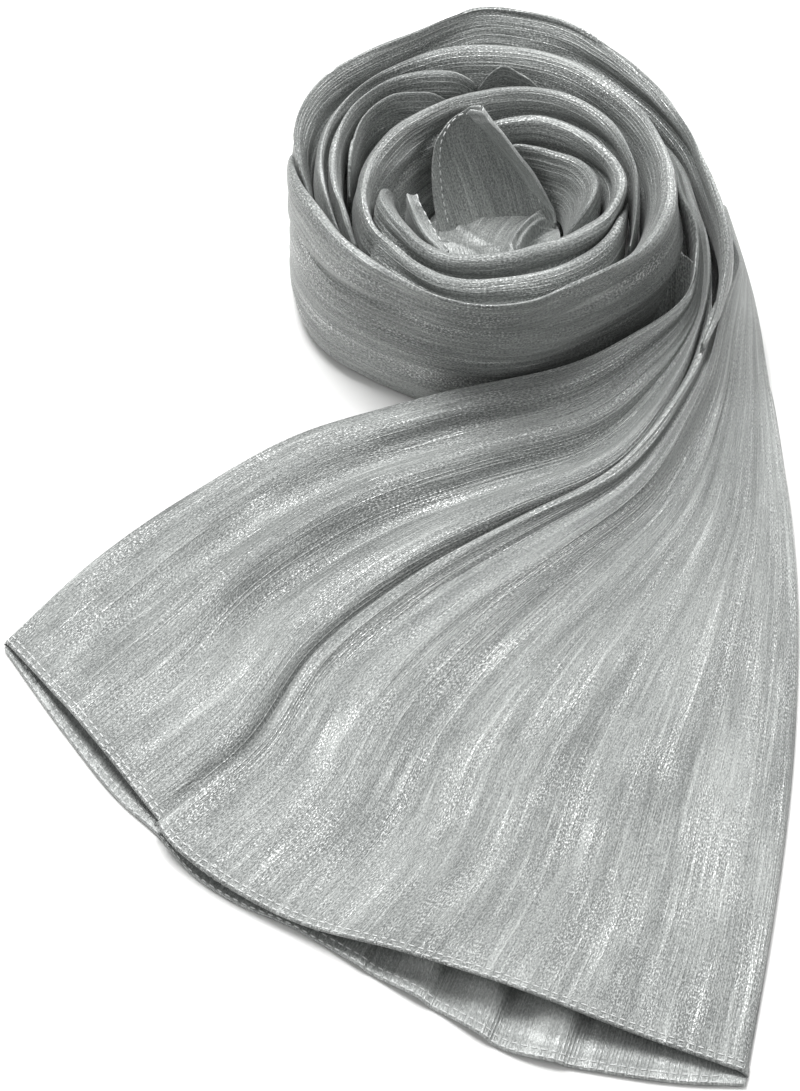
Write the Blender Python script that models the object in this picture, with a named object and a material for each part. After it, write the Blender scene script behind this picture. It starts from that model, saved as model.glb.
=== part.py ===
"""A silver-grey crinkled satin hijab, folded double lengthways, with one end wound into a
coil that stands on its edge and the other end fanned out flat in front of it.

The coil's turns are rounded bands round one upright axis: each band holds the hidden
layers of its stretch of cloth.  The fanned end is two pleated walls of cloth over a flat
under layer, with rolled hems.  Lengths in the tables are millimetres, angles are degrees
counted anticlockwise from +X, and +Z is up.  The part rests on the plane z = 0.
"""
import math
from collections import namedtuple

import bmesh
import bpy
import numpy as np

MM = 0.001

# Driving dimensions
COIL_CENTRE = (39.0, 151.0)      # axis of the coil in plan
SEAM_GAP = 0.3                   # clearance between neighbouring pieces
TURN_STEP = 6.0                  # degrees between the sections of a turn
CLOTH = 1.2                      # wall of one doubled layer of crinkled satin
FOOT_ROUND = 5.0                 # height of the rounded foot of the outer turns
FOOT_TUCK = 4.0                  # how far that foot pulls in under the turn
RIM_HALF = 3.2                   # half the width of a turn's rounded top edge
UNDER_THICK = 1.4                # under layer of the fanned end, flat on the surface
HEM_WIDTH = 4.6                  # rolled and stitched hem
HEM_PROUD = 0.5                  # how far a hem stands off its panel

# One row for each section of a turn.  "out" is the side away from the coil's axis and "in"
# the side towards it: r is the radius there, z the height of the crease beside the band.
Section = namedtuple("Section", "angle out_r out_z rim_r rim_z in_r in_z")

FRONT_WALL = [
    Section(147, 89.4, 14, 88.8, 20, 88.2, 14),
    Section(157, 89.6, 24, 88.8, 33, 88.0, 26),
    Section(165, 89.4, 28, 88.4, 45, 87.2, 38),
    Section(173, 88.4, 28, 87.0, 55, 85.2, 43),
    Section(181, 87.0, 28, 84.8, 63.5, 81.6, 42),
    Section(190, 86.4, 26, 82.4, 69, 77.6, 40),
    Section(202, 87.4, 24, 80.4, 72, 74.8, 40),
    Section(215, 86.8, 24, 80.2, 72, 74.2, 40),
    Section(228, 83.6, 24, 80.6, 72, 73.8, 40),
    Section(242, 81.4, 24, 82.4, 72, 74.6, 40),
    Section(256, 82.0, 24, 86.0, 72, 78.0, 40),
    Section(267, 82.6, 24, 87.2, 72, 79.0, 40),
    Section(278, 82.0, 24, 85.6, 72, 77.6, 40),
    Section(290, 80.8, 24, 81.4, 72, 73.6, 42),
    Section(303, 79.8, 24, 79.6, 71.5, 70.6, 44),
    Section(317, 81.0, 26, 79.6, 71, 69.2, 44),
    Section(330, 82.4, 30, 77.4, 71, 66.4, 44),
    Section(341, 81.6, 32, 75.2, 71.5, 64.2, 44),
    Section(350, 78.2, 30, 72.8, 72, 62.2, 44),
]

OUTER_TURN = [
    Section(-44, 116.8, 41.6, 115.8, 43.2, 114.8, 41.6),
    Section(-38, 114.0, 44.6, 112.4, 47, 110.8, 44.6),
    Section(-31, 110.2, 46.6, 108.0, 51, 105.6, 46.6),
    Section(-24, 106.8, 50, 104.2, 57, 101.0, 49),
    Section(-16, 101.2, 54, 98.0, 63, 94.6, 50),
    Section(-8, 95.6, 40, 92.0, 66, 88.6, 50),
    Section(0, 90.2, 34, 87.4, 68, 84.2, 50),
    Section(10, 87.2, 32, 84.2, 70, 81.0, 50),
    Section(20, 85.2, 30, 82.2, 71, 77.6, 48),
    Section(30, 84.2, 28, 81.4, 72, 73.6, 44),
    Section(40, 84.4, 28, 82.0, 72, 70.4, 42),
    Section(54, 86.0, 28, 85.0, 72, 71.0, 42),
    Section(65, 87.6, 28, 89.0, 72, 71.6, 42),
    Section(80, 88.6, 28, 91.6, 72, 72.2, 42),
    Section(93, 88.6, 28, 92.6, 72, 72.6, 42),
    Section(102, 86.6, 28, 88.4, 72, 72.8, 42),
    Section(115, 84.4, 28, 83.4, 72, 72.8, 44),
    Section(130, 85.4, 28, 83.4, 72, 73.2, 46),
    Section(145, 87.4, 28, 86.0, 72, 74.4, 46),
    Section(155, 87.2, 28, 86.4, 72, 75.6, 46),
    Section(165, 86.6, 34, 85.8, 71, 75.8, 46),
    Section(175, 84.4, 34, 83.2, 68.5, 75.8, 46),
    Section(186, 79.0, 32, 78.2, 61, 74.8, 44),
    Section(197, 75.4, 30, 74.8, 50, 73.8, 42),
]

SECOND_TURN = [
    Section(350.3, 78.2, 30, 72.8, 72, 62.2, 44),
    Section(360, 74.2, 40, 70.6, 72, 60.6, 46),
    Section(370, 71.4, 46, 68.6, 72, 59.2, 46),
    Section(382, 70.3, 46, 67.0, 72, 58.0, 46),
    Section(393, 69.4, 46, 65.6, 72, 57.0, 46),
    Section(405, 69.4, 44, 65.2, 72, 55.6, 44),
    Section(420, 70.4, 42, 66.0, 72, 54.0, 42),
    Section(437, 71.2, 42, 66.4, 72, 52.8, 42),
    Section(452, 71.8, 42, 67.0, 72, 53.6, 44),
    Section(466, 72.2, 42, 68.2, 72, 58.6, 48),
    Section(480, 72.2, 44, 68.8, 71.5, 63.4, 52),
    Section(491, 72.6, 46, 69.6, 71, 66.4, 54),
    Section(500, 73.0, 46, 70.4, 71, 67.8, 54),
    Section(512, 73.6, 46, 71.2, 70.5, 68.6, 54),
    Section(525, 74.4, 46, 72.0, 70, 69.2, 52),
    Section(540, 74.0, 46, 72.0, 69, 69.4, 50),
    Section(555, 73.2, 46, 71.6, 66, 69.2, 48),
    Section(566, 72.8, 44, 71.2, 58, 69.6, 46),
]

BACK_FOLD = [
    Section(98, 55.6, 44, 53.4, 64, 51.2, 44),
    Section(105, 58.0, 46, 54.6, 69, 50.4, 44),
    Section(114, 61.2, 48, 58.0, 70, 51.6, 42),
    Section(123, 64.0, 50, 61.8, 70, 55.8, 42),
    Section(131, 65.9, 52, 64.2, 70, 61.2, 46),
    Section(140, 67.2, 52, 65.6, 70, 63.6, 48),
    Section(150, 68.2, 52, 66.6, 70, 64.2, 40),
    Section(165, 68.7, 50, 66.8, 69.5, 63.0, 24),
    Section(178, 69.0, 50, 67.0, 69, 61.6, 22),
    Section(190, 68.9, 48, 67.2, 68, 61.6, 24),
    Section(204, 69.0, 46, 67.4, 64, 63.4, 34),
    Section(214, 74.4, 44, 68.6, 56, 66.4, 42),
]

BACK_FOLD_INNER = [
    Section(112, 50.8, 40, 49.0, 60, 47.4, 42),
    Section(119, 53.2, 40, 51.4, 65, 48.0, 34),
    Section(126, 57.0, 42, 55.2, 66, 50.0, 26),
    Section(133, 61.2, 44, 59.6, 66, 55.6, 24),
    Section(141, 63.2, 46, 61.8, 65.5, 59.0, 26),
    Section(150, 63.8, 44, 62.4, 65, 60.2, 26),
    Section(162, 62.6, 42, 61.2, 64, 59.2, 24),
    Section(174, 61.4, 42, 60.2, 61, 58.4, 24),
    Section(184, 61.0, 40, 60.0, 52, 58.8, 28),
]

THIRD_TURN = [
    Section(-32, 66.0, 46, 65.4, 53, 64.6, 47),
    Section(-24, 64.6, 44, 63.2, 61, 61.8, 48),
    Section(-14, 62.2, 44, 60.4, 66.5, 58.4, 50),
    Section(-3, 60.2, 44, 58.4, 69, 55.8, 50),
    Section(5, 58.8, 46, 56.3, 70, 53.2, 50),
    Section(16, 57.6, 46, 55.0, 70, 50.2, 50),
    Section(27, 56.6, 46, 53.8, 70, 47.8, 50),
    Section(37, 55.4, 44, 52.4, 70, 46.0, 50),
    Section(49, 54.0, 42, 50.6, 70, 43.6, 48),
    Section(62, 54.0, 42, 48.0, 70, 40.6, 46),
    Section(74, 53.0, 42, 45.2, 70, 37.6, 44),
    Section(87, 53.0, 42, 42.2, 70, 34.6, 40),
    Section(98, 51.4, 40, 40.4, 70, 31.6, 36),
    Section(112, 48.4, 36, 40.2, 70, 30.4, 30),
    Section(125, 50.6, 26, 40.6, 69.5, 29.6, 26),
    Section(138, 57.4, 20, 41.6, 69, 29.2, 24),
    Section(150, 63.4, 19, 44.0, 68.5, 29.6, 24),
    Section(165, 63.0, 19, 47.2, 68, 31.4, 24),
    Section(177, 61.6, 19, 50.8, 67.5, 36.0, 28),
    Section(187, 61.6, 22, 53.6, 67, 45.8, 36),
    Section(197, 62.6, 34, 56.6, 66, 51.6, 42),
    Section(207, 65.6, 42, 59.2, 65, 55.8, 46),
]

FOURTH_TURN = [
    Section(184, 42.0, 32, 40.4, 48, 38.0, 32),
    Section(190, 47.0, 38, 45.2, 60, 39.2, 32),
    Section(199, 52.4, 42, 49.0, 65, 40.0, 30),
    Section(211, 60.2, 42, 50.2, 66, 41.0, 30),
    Section(223, 57.6, 42, 51.4, 66, 42.0, 30),
    Section(237, 59.4, 42, 54.6, 66, 44.4, 32),
    Section(250, 61.0, 42, 56.0, 66, 46.0, 32),
    Section(262, 61.0, 42, 54.0, 66, 44.6, 32),
    Section(277, 60.8, 42, 51.6, 65.5, 41.4, 32),
    Section(290, 60.6, 42, 49.4, 65, 38.0, 32),
    Section(303, 66.0, 42, 50.2, 64.5, 37.6, 32),
    Section(317, 69.0, 44, 51.6, 64.5, 38.0, 32),
    Section(330, 66.2, 46, 53.6, 65, 42.0, 34),
    Section(340, 64.2, 46, 54.0, 65.5, 45.0, 38),
    Section(347, 57.6, 48, 53.0, 66, 46.0, 40),
    Section(357, 55.2, 48, 50.6, 66, 45.0, 40),
    Section(371, 51.2, 48, 45.6, 66, 41.0, 42),
    Section(386, 47.4, 48, 40.8, 66, 35.8, 44),
    Section(401, 44.8, 46, 37.0, 66, 31.8, 46),
    Section(416, 41.6, 46, 33.4, 66, 28.2, 46),
    Section(432, 37.4, 44, 29.6, 65, 25.2, 46),
    Section(443, 34.0, 42, 28.0, 64, 24.0, 46),
    Section(454, 32.0, 42, 27.6, 62, 24.6, 46),
    Section(465, 30.6, 42, 27.4, 56, 25.4, 44),
    Section(474, 29.6, 40, 27.4, 46, 26.0, 40),
]

FRONT_FOLD = [
    Section(207.3, 65.6, 42, 59.2, 65, 55.8, 46),
    Section(216, 70.0, 42, 61.0, 64, 57.8, 48),
    Section(226, 74.0, 40, 61.8, 64, 58.8, 50),
    Section(238, 74.6, 38, 65.0, 64, 60.4, 52),
    Section(250, 76.6, 36, 68.2, 64.5, 61.8, 52),
    Section(261, 78.4, 36, 68.0, 64.5, 61.8, 52),
    Section(271, 78.4, 36, 65.4, 64, 61.0, 52),
    Section(282, 74.0, 38, 64.0, 63.5, 59.6, 50),
    Section(296, 71.0, 38, 63.2, 63, 58.4, 50),
    Section(310, 68.6, 40, 61.8, 62, 57.2, 50),
    Section(323, 64.0, 42, 60.0, 61, 56.2, 50),
    Section(334, 60.4, 44, 57.6, 59, 55.2, 48),
    Section(342, 58.0, 46, 56.8, 56.5, 55.4, 49),
    Section(350, 57.2, 49, 56.5, 53, 55.8, 49.5),
]

INNER_FOLD = [
    Section(-66, 37.4, 26, 36.8, 31, 34.4, 26),
    Section(-50, 37.5, 30, 37.0, 40, 32.6, 28),
    Section(-35, 40.0, 33, 38.8, 51, 31.2, 30),
    Section(-20, 44.0, 36, 42.2, 59, 30.6, 32),
    Section(-8, 45.2, 38, 42.8, 61.5, 30.4, 34),
    Section(3, 43.8, 39, 40.6, 61, 29.8, 34),
    Section(15, 39.8, 40, 36.8, 60, 29.2, 32),
    Section(30, 34.2, 42, 31.2, 58.5, 26.2, 30),
    Section(48, 29.4, 42, 26.6, 58, 22.4, 30),
    Section(70, 24.8, 42, 22.6, 57, 20.0, 32),
    Section(88, 22.4, 40, 21.4, 50, 20.0, 38),
]

# The turns in the order they are laid in, each inside the ones it names.
Turn = namedtuple("Turn", "name rows inside tuck samples material")
TURNS = [
    Turn("front_wall", FRONT_WALL, (), FOOT_TUCK, 13, "outer"),
    Turn("outer_turn", OUTER_TURN, ("front_wall",), FOOT_TUCK, 13, "outer"),
    Turn("second_turn", SECOND_TURN, ("front_wall", "outer_turn"), 0, 11, "inner"),
    Turn("back_fold", BACK_FOLD, ("front_wall", "second_turn"), 0, 10, "inner"),
    Turn("back_fold_inner", BACK_FOLD_INNER, ("back_fold",), 0, 10, "inner"),
    Turn("front_fold", FRONT_FOLD, ("front_wall", "back_fold"), 0, 10, "inner"),
    Turn("third_turn", THIRD_TURN,
         ("front_wall", "second_turn", "back_fold", "back_fold_inner", "front_fold"),
         0, 11, "inner"),
    Turn("fourth_turn", FOURTH_TURN, ("front_wall", "front_fold", "third_turn"), 0, 11, "inner"),
    Turn("inner_fold", INNER_FOLD, ("fourth_turn",), 0, 9, "inner"),
]

# The lifted start of the outer turn lies over the fanned end: height of its underside.
OUTER_TURN_BASE = [(-44, 40.0), (-38, 42.4), (-31, 43.6), (-24, 43.6), (-18, 43.4), (-15, 14.0),
                   (-12, 0.0), (197, 0.0)]

# Bottom of the coil's hollow: how far out it reaches, and its height there.
Floor = namedtuple("Floor", "angle reach edge_z")
CORE_FLOOR = [
    Floor(0, 28.8, 26), Floor(15, 28.2, 24), Floor(30, 25.4, 22), Floor(50, 21.4, 20),
    Floor(70, 19.4, 20), Floor(90, 19.4, 20), Floor(104, 24.2, 20), Floor(116, 25.0, 21),
    Floor(124, 27.8, 22), Floor(134, 28.2, 22), Floor(150, 28.6, 22), Floor(165, 30.4, 22),
    Floor(178, 35.2, 24), Floor(190, 38.0, 28), Floor(210, 40.0, 29), Floor(235, 43.0, 31),
    Floor(255, 44.6, 31), Floor(272, 41.0, 31), Floor(284, 35.4, 30), Floor(300, 33.6, 30),
    Floor(312, 31.4, 29), Floor(326, 30.0, 28), Floor(342, 29.4, 27),
]
CORE_MIDDLE_Z = 21.0
FLOOR_SHARES = (1.0, 0.8, 0.6, 0.4, 0.2)

# Left panel of the fanned end, a row for each section from the coil to the hem: its upper
# edge, the pleat that covers its other edge, how far the cloth reaches down behind the
# upper edge, and how far it runs on under the pleat.
LeftRow = namedtuple("LeftRow", "edge_x edge_y pleat_x pleat_y behind under")
LEFT_PANEL = [
    LeftRow(98.6, 189.5, 99.3, 190.0, 0.2, 0.2),
    LeftRow(107.2, 175.8, 110.4, 177.0, 0.2, 0.2),
    LeftRow(113.8, 157.6, 118.8, 158.0, 0.2, 0.2),
    LeftRow(116.0, 141.0, 123.2, 140.4, 0.8, 0.2),
    LeftRow(121.0, 128.0, 127.4, 123.4, 2.0, 0.2),
    LeftRow(122.0, 114.7, 127.8, 105.0, 3.0, 0.6),
    LeftRow(117.0, 97.2, 124.0, 86.0, 5.0, 4.0),
    LeftRow(97.0, 83.0, 114.0, 59.4, 4.0, 6.0),
    LeftRow(66.0, 69.0, 90.0, 27.0, 1.2, 8.0),
    LeftRow(9.8, 61.5, 50.0, 3.0, 1.6, 8.0),
    LeftRow(-40.8, 49.5, 7.0, -26.0, 3.0, 8.0),
    LeftRow(-84.0, 21.0, -30.0, -62.0, 2.0, 8.0),
    LeftRow(-120.0, -12.0, -54.0, -106.0, 1.6, 6.0),
    LeftRow(-153.0, -53.0, -88.0, -140.0, 1.2, 3.0),
]
# A row for each fold of that panel: its place across, from the upper edge at 0 to the
# pleat at 1, and its height at sections 0, 2, 4, 6, 8, 10 and 13.
LEFT_STATIONS = (0, 2, 4, 6, 8, 10, 13)
LEFT_FOLDS = {
    "upper edge": (0.00, (52, 60, 57, 43, 31, 11, 4.8)),
    "brow": (0.14, (52, 60, 57, 41, 28, 12, 6.6)),
    "first valley": (0.30, (52, 58, 53, 36, 19, 6, 8.0)),
    "low ridge": (0.44, (51, 57, 50, 33, 17, 12, 9.5)),
    "deep valley": (0.58, (51, 56, 49, 31, 9, 5, 9.0)),
    "crest": (0.82, (52, 57, 52, 39, 16.5, 9.2, 6.8)),
    "beside pleat": (1.00, (51, 56, 48, 35, 9, 5.2, 5.0)),
}

# Right panel: the rolled edge that makes the pleat, the outer fold, how far the rolled
# edge drops over the left panel, and how far its sections bow out towards the hem.
RightRow = namedtuple("RightRow", "pleat_x pleat_y fold_x fold_y lip bow")
RIGHT_PANEL = [
    RightRow(133.4, 151.0, 137.6, 152.0, 0.8, 0),
    RightRow(136.8, 137.0, 142.2, 138.0, 0.8, 0),
    RightRow(139.6, 121.0, 146.8, 119.0, 0.8, 0),
    RightRow(134.0, 104.0, 149.4, 102.0, 1.2, 0),
    RightRow(128.2, 88.2, 150.8, 86.0, 2.4, 0),
    RightRow(117.4, 60.5, 152.8, 58.0, 3.6, 0),
    RightRow(90.0, 27.0, 155.0, 10.0, 3.8, 3),
    RightRow(50.0, 3.0, 153.6, -40.0, 4.0, 6),
    RightRow(7.0, -26.0, 148.0, -94.0, 4.0, 9),
    RightRow(-30.0, -62.0, 140.8, -141.0, 4.0, 11),
    RightRow(-53.0, -104.0, 130.8, -192.0, 3.0, 13),
    RightRow(-89.0, -142.0, 118.8, -244.0, 2.0, 15),
]
RIGHT_STATIONS = (0, 2, 4, 5, 6, 8, 10, 11)
RIGHT_FOLDS = {
    "rolled edge": (0.00, (39, 39, 42, 33, 20, 13, 10, 9.4)),
    "crease": (0.05, (39.5, 39.5, 40.8, 30, 16, 10.4, 8.6, 8.4)),
    "second ridge": (0.12, (40, 40, 41, 31, 17, 11.4, 8.6, 7.6)),
    "soft valley": (0.27, (41, 39, 36, 23, 9, 6.6, 6, 6.6)),
    "middle": (0.46, (42, 37, 32, 18, 7, 7, 8, 15)),
    "mouth": (0.62, (42, 34, 27, 15, 7, 6, 9, 16)),
    "shoulder": (0.86, (41, 29, 18, 11, 7, 6, 6, 8)),
    "outer fold": (1.00, (40, 25, 13, 9, 6, 5, 4.5, 4.5)),
}
OUTER_FOLD_REACH = 2.5           # the outer fold rounds down this far past its crest
PANEL_FOOT_Z = 2.3               # where a panel's sides meet the under layer

# Under layer of the fanned end, a row for each section: both sides in plan.
UNDER_LAYER = [
    (120.0, 108.0, 149.0, 108.0),
    (109.0, 88.0, 154.0, 86.0),
    (90.0, 74.0, 156.0, 58.0),
    (62.0, 66.0, 157.2, 9.0),
    (9.0, 62.0, 156.0, -41.0),
    (-40.0, 50.0, 150.4, -96.0),
    (-84.0, 22.0, 143.2, -143.0),
    (-120.0, -11.0, 133.0, -194.0),
    (-154.0, -54.5, 121.0, -248.6),
]
# How far the under layer's hem stands out past the line between its two corners.
UNDER_BOW = [(0.0, 0.0), (0.135, 18.5), (0.243, 31.0), (0.30, 34.5), (0.37, 41.5), (0.43, 42.0),
             (0.49, 39.0), (0.60, 38.5), (0.69, 37.4), (0.78, 36.4), (0.87, 24.5), (0.95, 11.0),
             (1.0, 0.0)]
MOUTH_GATHERS = 9                # small pleats of the under layer inside the mouth
GATHER_HEIGHT = 3.2
GATHER_FROM, GATHER_TO = 0.44, 0.84
GATHER_LENGTH = 0.16             # share of the fanned end's length that they run back

# Hidden layers under the gathered neck, a row for each section.
HIDDEN_LAYERS = [
    (124.0, 113.0, 142.0, 113.0, 17.0),
    (122.0, 102.0, 144.0, 101.0, 19.0),
    (118.0, 88.0, 146.0, 86.0, 15.0),
    (109.0, 62.0, 146.0, 58.0, 9.0),
    (90.0, 30.0, 146.0, 12.0, 3.0),
    (62.0, 0.0, 145.0, -30.0, 1.6),
]

# Corner of the scarf's inner end, which stands up in the hollow: a row for each level.
CornerRow = namedtuple("CornerRow", "z left_x left_y right_x right_y belly")
END_CORNER = [
    CornerRow(78.0, 29.4, 173.2, 33.4, 173.6, 0.0),
    CornerRow(74.0, 22.8, 169.4, 37.0, 170.4, 1.0),
    CornerRow(68.0, 16.0, 165.4, 42.0, 168.4, 2.5),
    CornerRow(60.0, 13.8, 162.4, 47.4, 166.4, 4.0),
    CornerRow(50.0, 13.4, 158.4, 55.0, 163.4, 6.0),
    CornerRow(40.0, 14.4, 153.6, 61.0, 160.0, 8.0),
    CornerRow(32.0, 16.2, 149.4, 65.0, 157.0, 9.0),
    CornerRow(25.0, 19.4, 146.0, 66.0, 154.0, 9.0),
]

# Small loop of hem beside the corner: angle, radii of its two sides, height of its top.
LoopRow = namedtuple("LoopRow", "angle outer_r inner_r top_z")
CORNER_LOOP = [
    LoopRow(197, 38.4, 36.8, 60), LoopRow(203, 39.0, 34.6, 60), LoopRow(212, 39.4, 33.6, 57),
    LoopRow(222, 40.2, 34.2, 54), LoopRow(232, 41.4, 36.4, 52), LoopRow(240, 42.6, 40.4, 50),
]

# Folded corner that shows between the second and third turns at the back.
BackRow = namedtuple("BackRow", "angle foot_r top_r top_z")
BACK_CORNER = [
    BackRow(64, 53.9, 53.5, 58), BackRow(70, 53.5, 52.9, 65), BackRow(78, 53.3, 52.5, 70),
    BackRow(85, 53.2, 52.3, 73), BackRow(91, 53.2, 52.5, 68), BackRow(96, 53.2, 52.7, 60),
]
BACK_CORNER_FOOT_Z = 53.0


def spline(knots, values, at):
    """Smooth curve through one row of values for each knot, read at the given places."""
    knots = np.asarray(knots, float)
    values = np.asarray(values, float).reshape(len(knots), -1)
    at = np.clip(np.atleast_1d(np.asarray(at, float)), knots[0], knots[-1])
    slopes = np.gradient(values, knots, axis=0)
    k = np.clip(np.searchsorted(knots, at, side="right") - 1, 0, len(knots) - 2)
    span = (knots[k + 1] - knots[k])[:, None]
    t = (at - knots[k])[:, None] / span
    return ((2 * t**3 - 3 * t**2 + 1) * values[k] + (t**3 - 2 * t**2 + t) * span * slopes[k]
            + (3 * t**2 - 2 * t**3) * values[k + 1] + (t**3 - t**2) * span * slopes[k + 1])


def rounded(control, count):
    """Cubic B-spline along the last-but-one axis of control, clamped at both ends."""
    first, last = control[..., :1, :], control[..., -1:, :]
    points = np.concatenate([first, first, control, last, last], axis=-2)
    at = np.linspace(0.0, points.shape[-2] - 3 - 1e-6, count)
    k = at.astype(int)
    t = (at - k)[:, None]
    weights = ((1 - t)**3, 3 * t**3 - 6 * t**2 + 4, -3 * t**3 + 3 * t**2 + 3 * t + 1, t**3)
    return sum(w * points[..., k + i, :] for i, w in enumerate(weights)) / 6.0


def polar(angle, radius):
    """Plan position of a point given by its angle and distance from the coil's axis."""
    a = np.radians(angle)
    return COIL_CENTRE[0] + radius * np.cos(a), COIL_CENTRE[1] + radius * np.sin(a)


def cloth(name, colour, roughness):
    """Satin material for one stretch of cloth."""
    material = bpy.data.materials.new(name)
    material.use_nodes = True
    shader = material.node_tree.nodes["Principled BSDF"]
    shader.inputs["Base Color"].default_value = (*colour, 1.0)
    shader.inputs["Roughness"].default_value = roughness
    shader.inputs["Metallic"].default_value = 0.15
    return material


def add_object(name, points, faces, material):
    """One closed solid from points in millimetres, with its faces turned outwards."""
    mesh = bpy.data.meshes.new(name)
    mesh.from_pydata((np.asarray(points) * MM).tolist(), [], faces)
    work = bmesh.new()
    work.from_mesh(mesh)
    bmesh.ops.recalc_face_normals(work, faces=work.faces)
    work.to_mesh(mesh)
    work.free()
    mesh.materials.append(material)
    mesh.shade_smooth()
    mesh.set_sharp_from_angle(angle=math.radians(50))
    piece = bpy.data.objects.new(name, mesh)
    bpy.context.scene.collection.objects.link(piece)
    return piece


def grid_faces(rows, columns, offset=0, turn=False):
    """Quads over a grid of points, rows by columns, numbered from offset."""
    faces = []
    for i in range(rows - 1):
        for j in range(columns - 1):
            a = offset + i * columns + j
            quad = (a, a + 1, a + columns + 1, a + columns)
            faces.append(quad[::-1] if turn else quad)
    return faces


def loft(name, rings, material):
    """Solid through closed rings of points, its two ends closed."""
    rows, count = rings.shape[:2]
    faces = [tuple(range(count))[::-1], tuple(range((rows - 1) * count, rows * count))]
    for i in range(rows - 1):
        for j in range(count):
            a, b = i * count + j, i * count + (j + 1) % count
            faces.append((a, b, b + count, a + count))
    return add_object(name, rings.reshape(-1, 3), faces, material)


def normals(grid):
    """Unit normals of a grid of points, rows by columns, on the side that faces up."""
    across = np.gradient(grid, axis=1)
    along = np.gradient(grid, axis=0)
    normal = np.cross(along, across)
    normal /= np.maximum(np.linalg.norm(normal, axis=2, keepdims=True), 1e-9)
    return normal if normal[..., 2].mean() > 0 else -normal


def wall(name, top, thickness, material, narrow=0.0, share=1.0):
    """Wall of cloth: the grid of outer points, and that grid moved in, less so in creases.
    Rows narrower than this are moved straight down, up to the given share across."""
    rows, columns = top.shape[:2]
    inward = normals(top)
    for _ in range(6):
        beside = np.concatenate([inward[:, :1], inward, inward[:, -1:]], axis=1)
        inward = (beside[:, :-2] + 2 * inward + beside[:, 2:]) / 4
    width = np.linalg.norm(top[:, -1] - top[:, 0], axis=1)
    straight = np.clip(2 - 2 * width / max(narrow, 1e-6), 0, 1)[:, None, None]
    place = np.linspace(0, 1, columns)[None, :, None]
    straight = straight * np.clip(1 - 4 * (place - share), 0, 1)
    inward = inward * (1 - straight) + np.array([0.0, 0.0, 1.0]) * straight
    bottom = top - inward * thickness
    bottom[..., 2] = np.maximum(bottom[..., 2], PANEL_FOOT_Z - 0.4)
    count = rows * columns
    faces = grid_faces(rows, columns) + grid_faces(rows, columns, count, turn=True)
    edge = [j for j in range(columns)]
    edge += [i * columns + columns - 1 for i in range(1, rows)]
    edge += [(rows - 1) * columns + j for j in range(columns - 2, -1, -1)]
    edge += [i * columns for i in range(rows - 2, 0, -1)]
    for a, b in zip(edge, edge[1:] + edge[:1]):
        faces.append((b, a, a + count, b + count))
    points = np.concatenate([top.reshape(-1, 3), bottom.reshape(-1, 3)])
    return add_object(name, points, faces, material)


def turn_columns(rows, angle):
    """The columns of a turn's table, read smoothly at the given angles."""
    table = [row[1:] for row in rows]
    return spline([row.angle for row in rows], table, angle).T


def inner_limit(bound, angle, rim_r):
    """Radius that cloth with this rim may reach inside a turn, where that turn is round it."""
    limit = np.full(len(angle), np.inf)
    for whole_turn in (-360, 0, 360):
        at = angle + whole_turn
        near = (at >= bound[0][0] - TURN_STEP) & (at <= bound[0][-1] + TURN_STEP)
        reach = np.interp(at, *bound)
        limit = np.where(near & (reach > rim_r), np.minimum(limit, reach), limit)
    return limit


def turn_angles(rows):
    """Angles of a turn's sections: its two ends, and the shared whole steps between them."""
    first, last = rows[0].angle, rows[-1].angle
    whole = np.arange(math.ceil(first / TURN_STEP), math.floor(last / TURN_STEP) + 1) * TURN_STEP
    whole = whole[(whole > first + 1) & (whole < last - 1)]
    return np.concatenate([[first], whole, [last]])


def turn_rings(rows, inside=(), base=None, tuck=0.0, samples=13):
    """Closed sections of a turn (flat foot, outer face, rounded rim, inner face), and the
    radius of its inner face at each of its angles."""
    angle = turn_angles(rows)
    out_r, out_z, rim_r, rim_z, in_r, in_z = turn_columns(rows, angle)
    for bound in inside:
        out_r = np.minimum(out_r, inner_limit(bound, angle, rim_r) - SEAM_GAP)
    in_r = np.minimum(in_r, out_r - 1.5)
    rim_r = np.maximum(rim_r, in_r + 0.6)
    low = np.zeros(len(angle)) if base is None else np.interp(angle, *zip(*base))
    half = 0.42 * np.minimum(out_r - rim_r + RIM_HALF, rim_r - in_r)
    half = np.clip(half, 0.3, RIM_HALF)
    rim_out = np.minimum(rim_r + half, np.maximum(out_r, rim_r))
    pinch = np.minimum(tuck, 0.4 * (out_r - in_r))
    shin = low + np.minimum(FOOT_ROUND if tuck else 99.0, 0.4 * (out_z - low))
    control = [
        (out_r - pinch, low),
        (out_r, shin),
        (out_r, np.maximum(out_z, low + 1)),
        (out_r + 0.35 * (rim_out - out_r), out_z + 0.62 * (rim_z - out_z)),
        (rim_out, rim_z),
        (rim_r - half, rim_z),
        (in_r + 0.42 * (rim_r - half - in_r), in_z + 0.50 * (rim_z - in_z)),
        (in_r, np.maximum(in_z, low + 1)),
    ]
    section = rounded(np.stack([np.stack(point, axis=1) for point in control], axis=1), samples)
    foot = np.stack([in_r, low], axis=1)[:, None, :]
    section = np.concatenate([section, foot], axis=1)
    x, y = polar(angle[:, None], section[..., 0])
    return np.stack([x, y, section[..., 1]], axis=2), (angle, in_r)


def across_tail(rows, folds, stations, along, across):
    """Points and heights of a panel: along is in sections, across runs from 0 to 1."""
    knots = range(len(rows))
    sides = spline(knots, [row[:4] for row in rows], along)
    start, end = sides[:, None, 0:2], sides[:, None, 2:4]
    plan = start + (end - start) * np.clip(across, 0, 1)[None, :, None]
    heights = spline(stations, np.array([z for _, z in folds.values()]).T, along)
    places = [place for place, _ in folds.values()]
    z = np.stack([spline(places, row, across)[:, 0] for row in heights])
    direction = (end - start) / np.maximum(np.linalg.norm(end - start, axis=2, keepdims=True), 1e-9)
    return plan, z, direction


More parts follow.
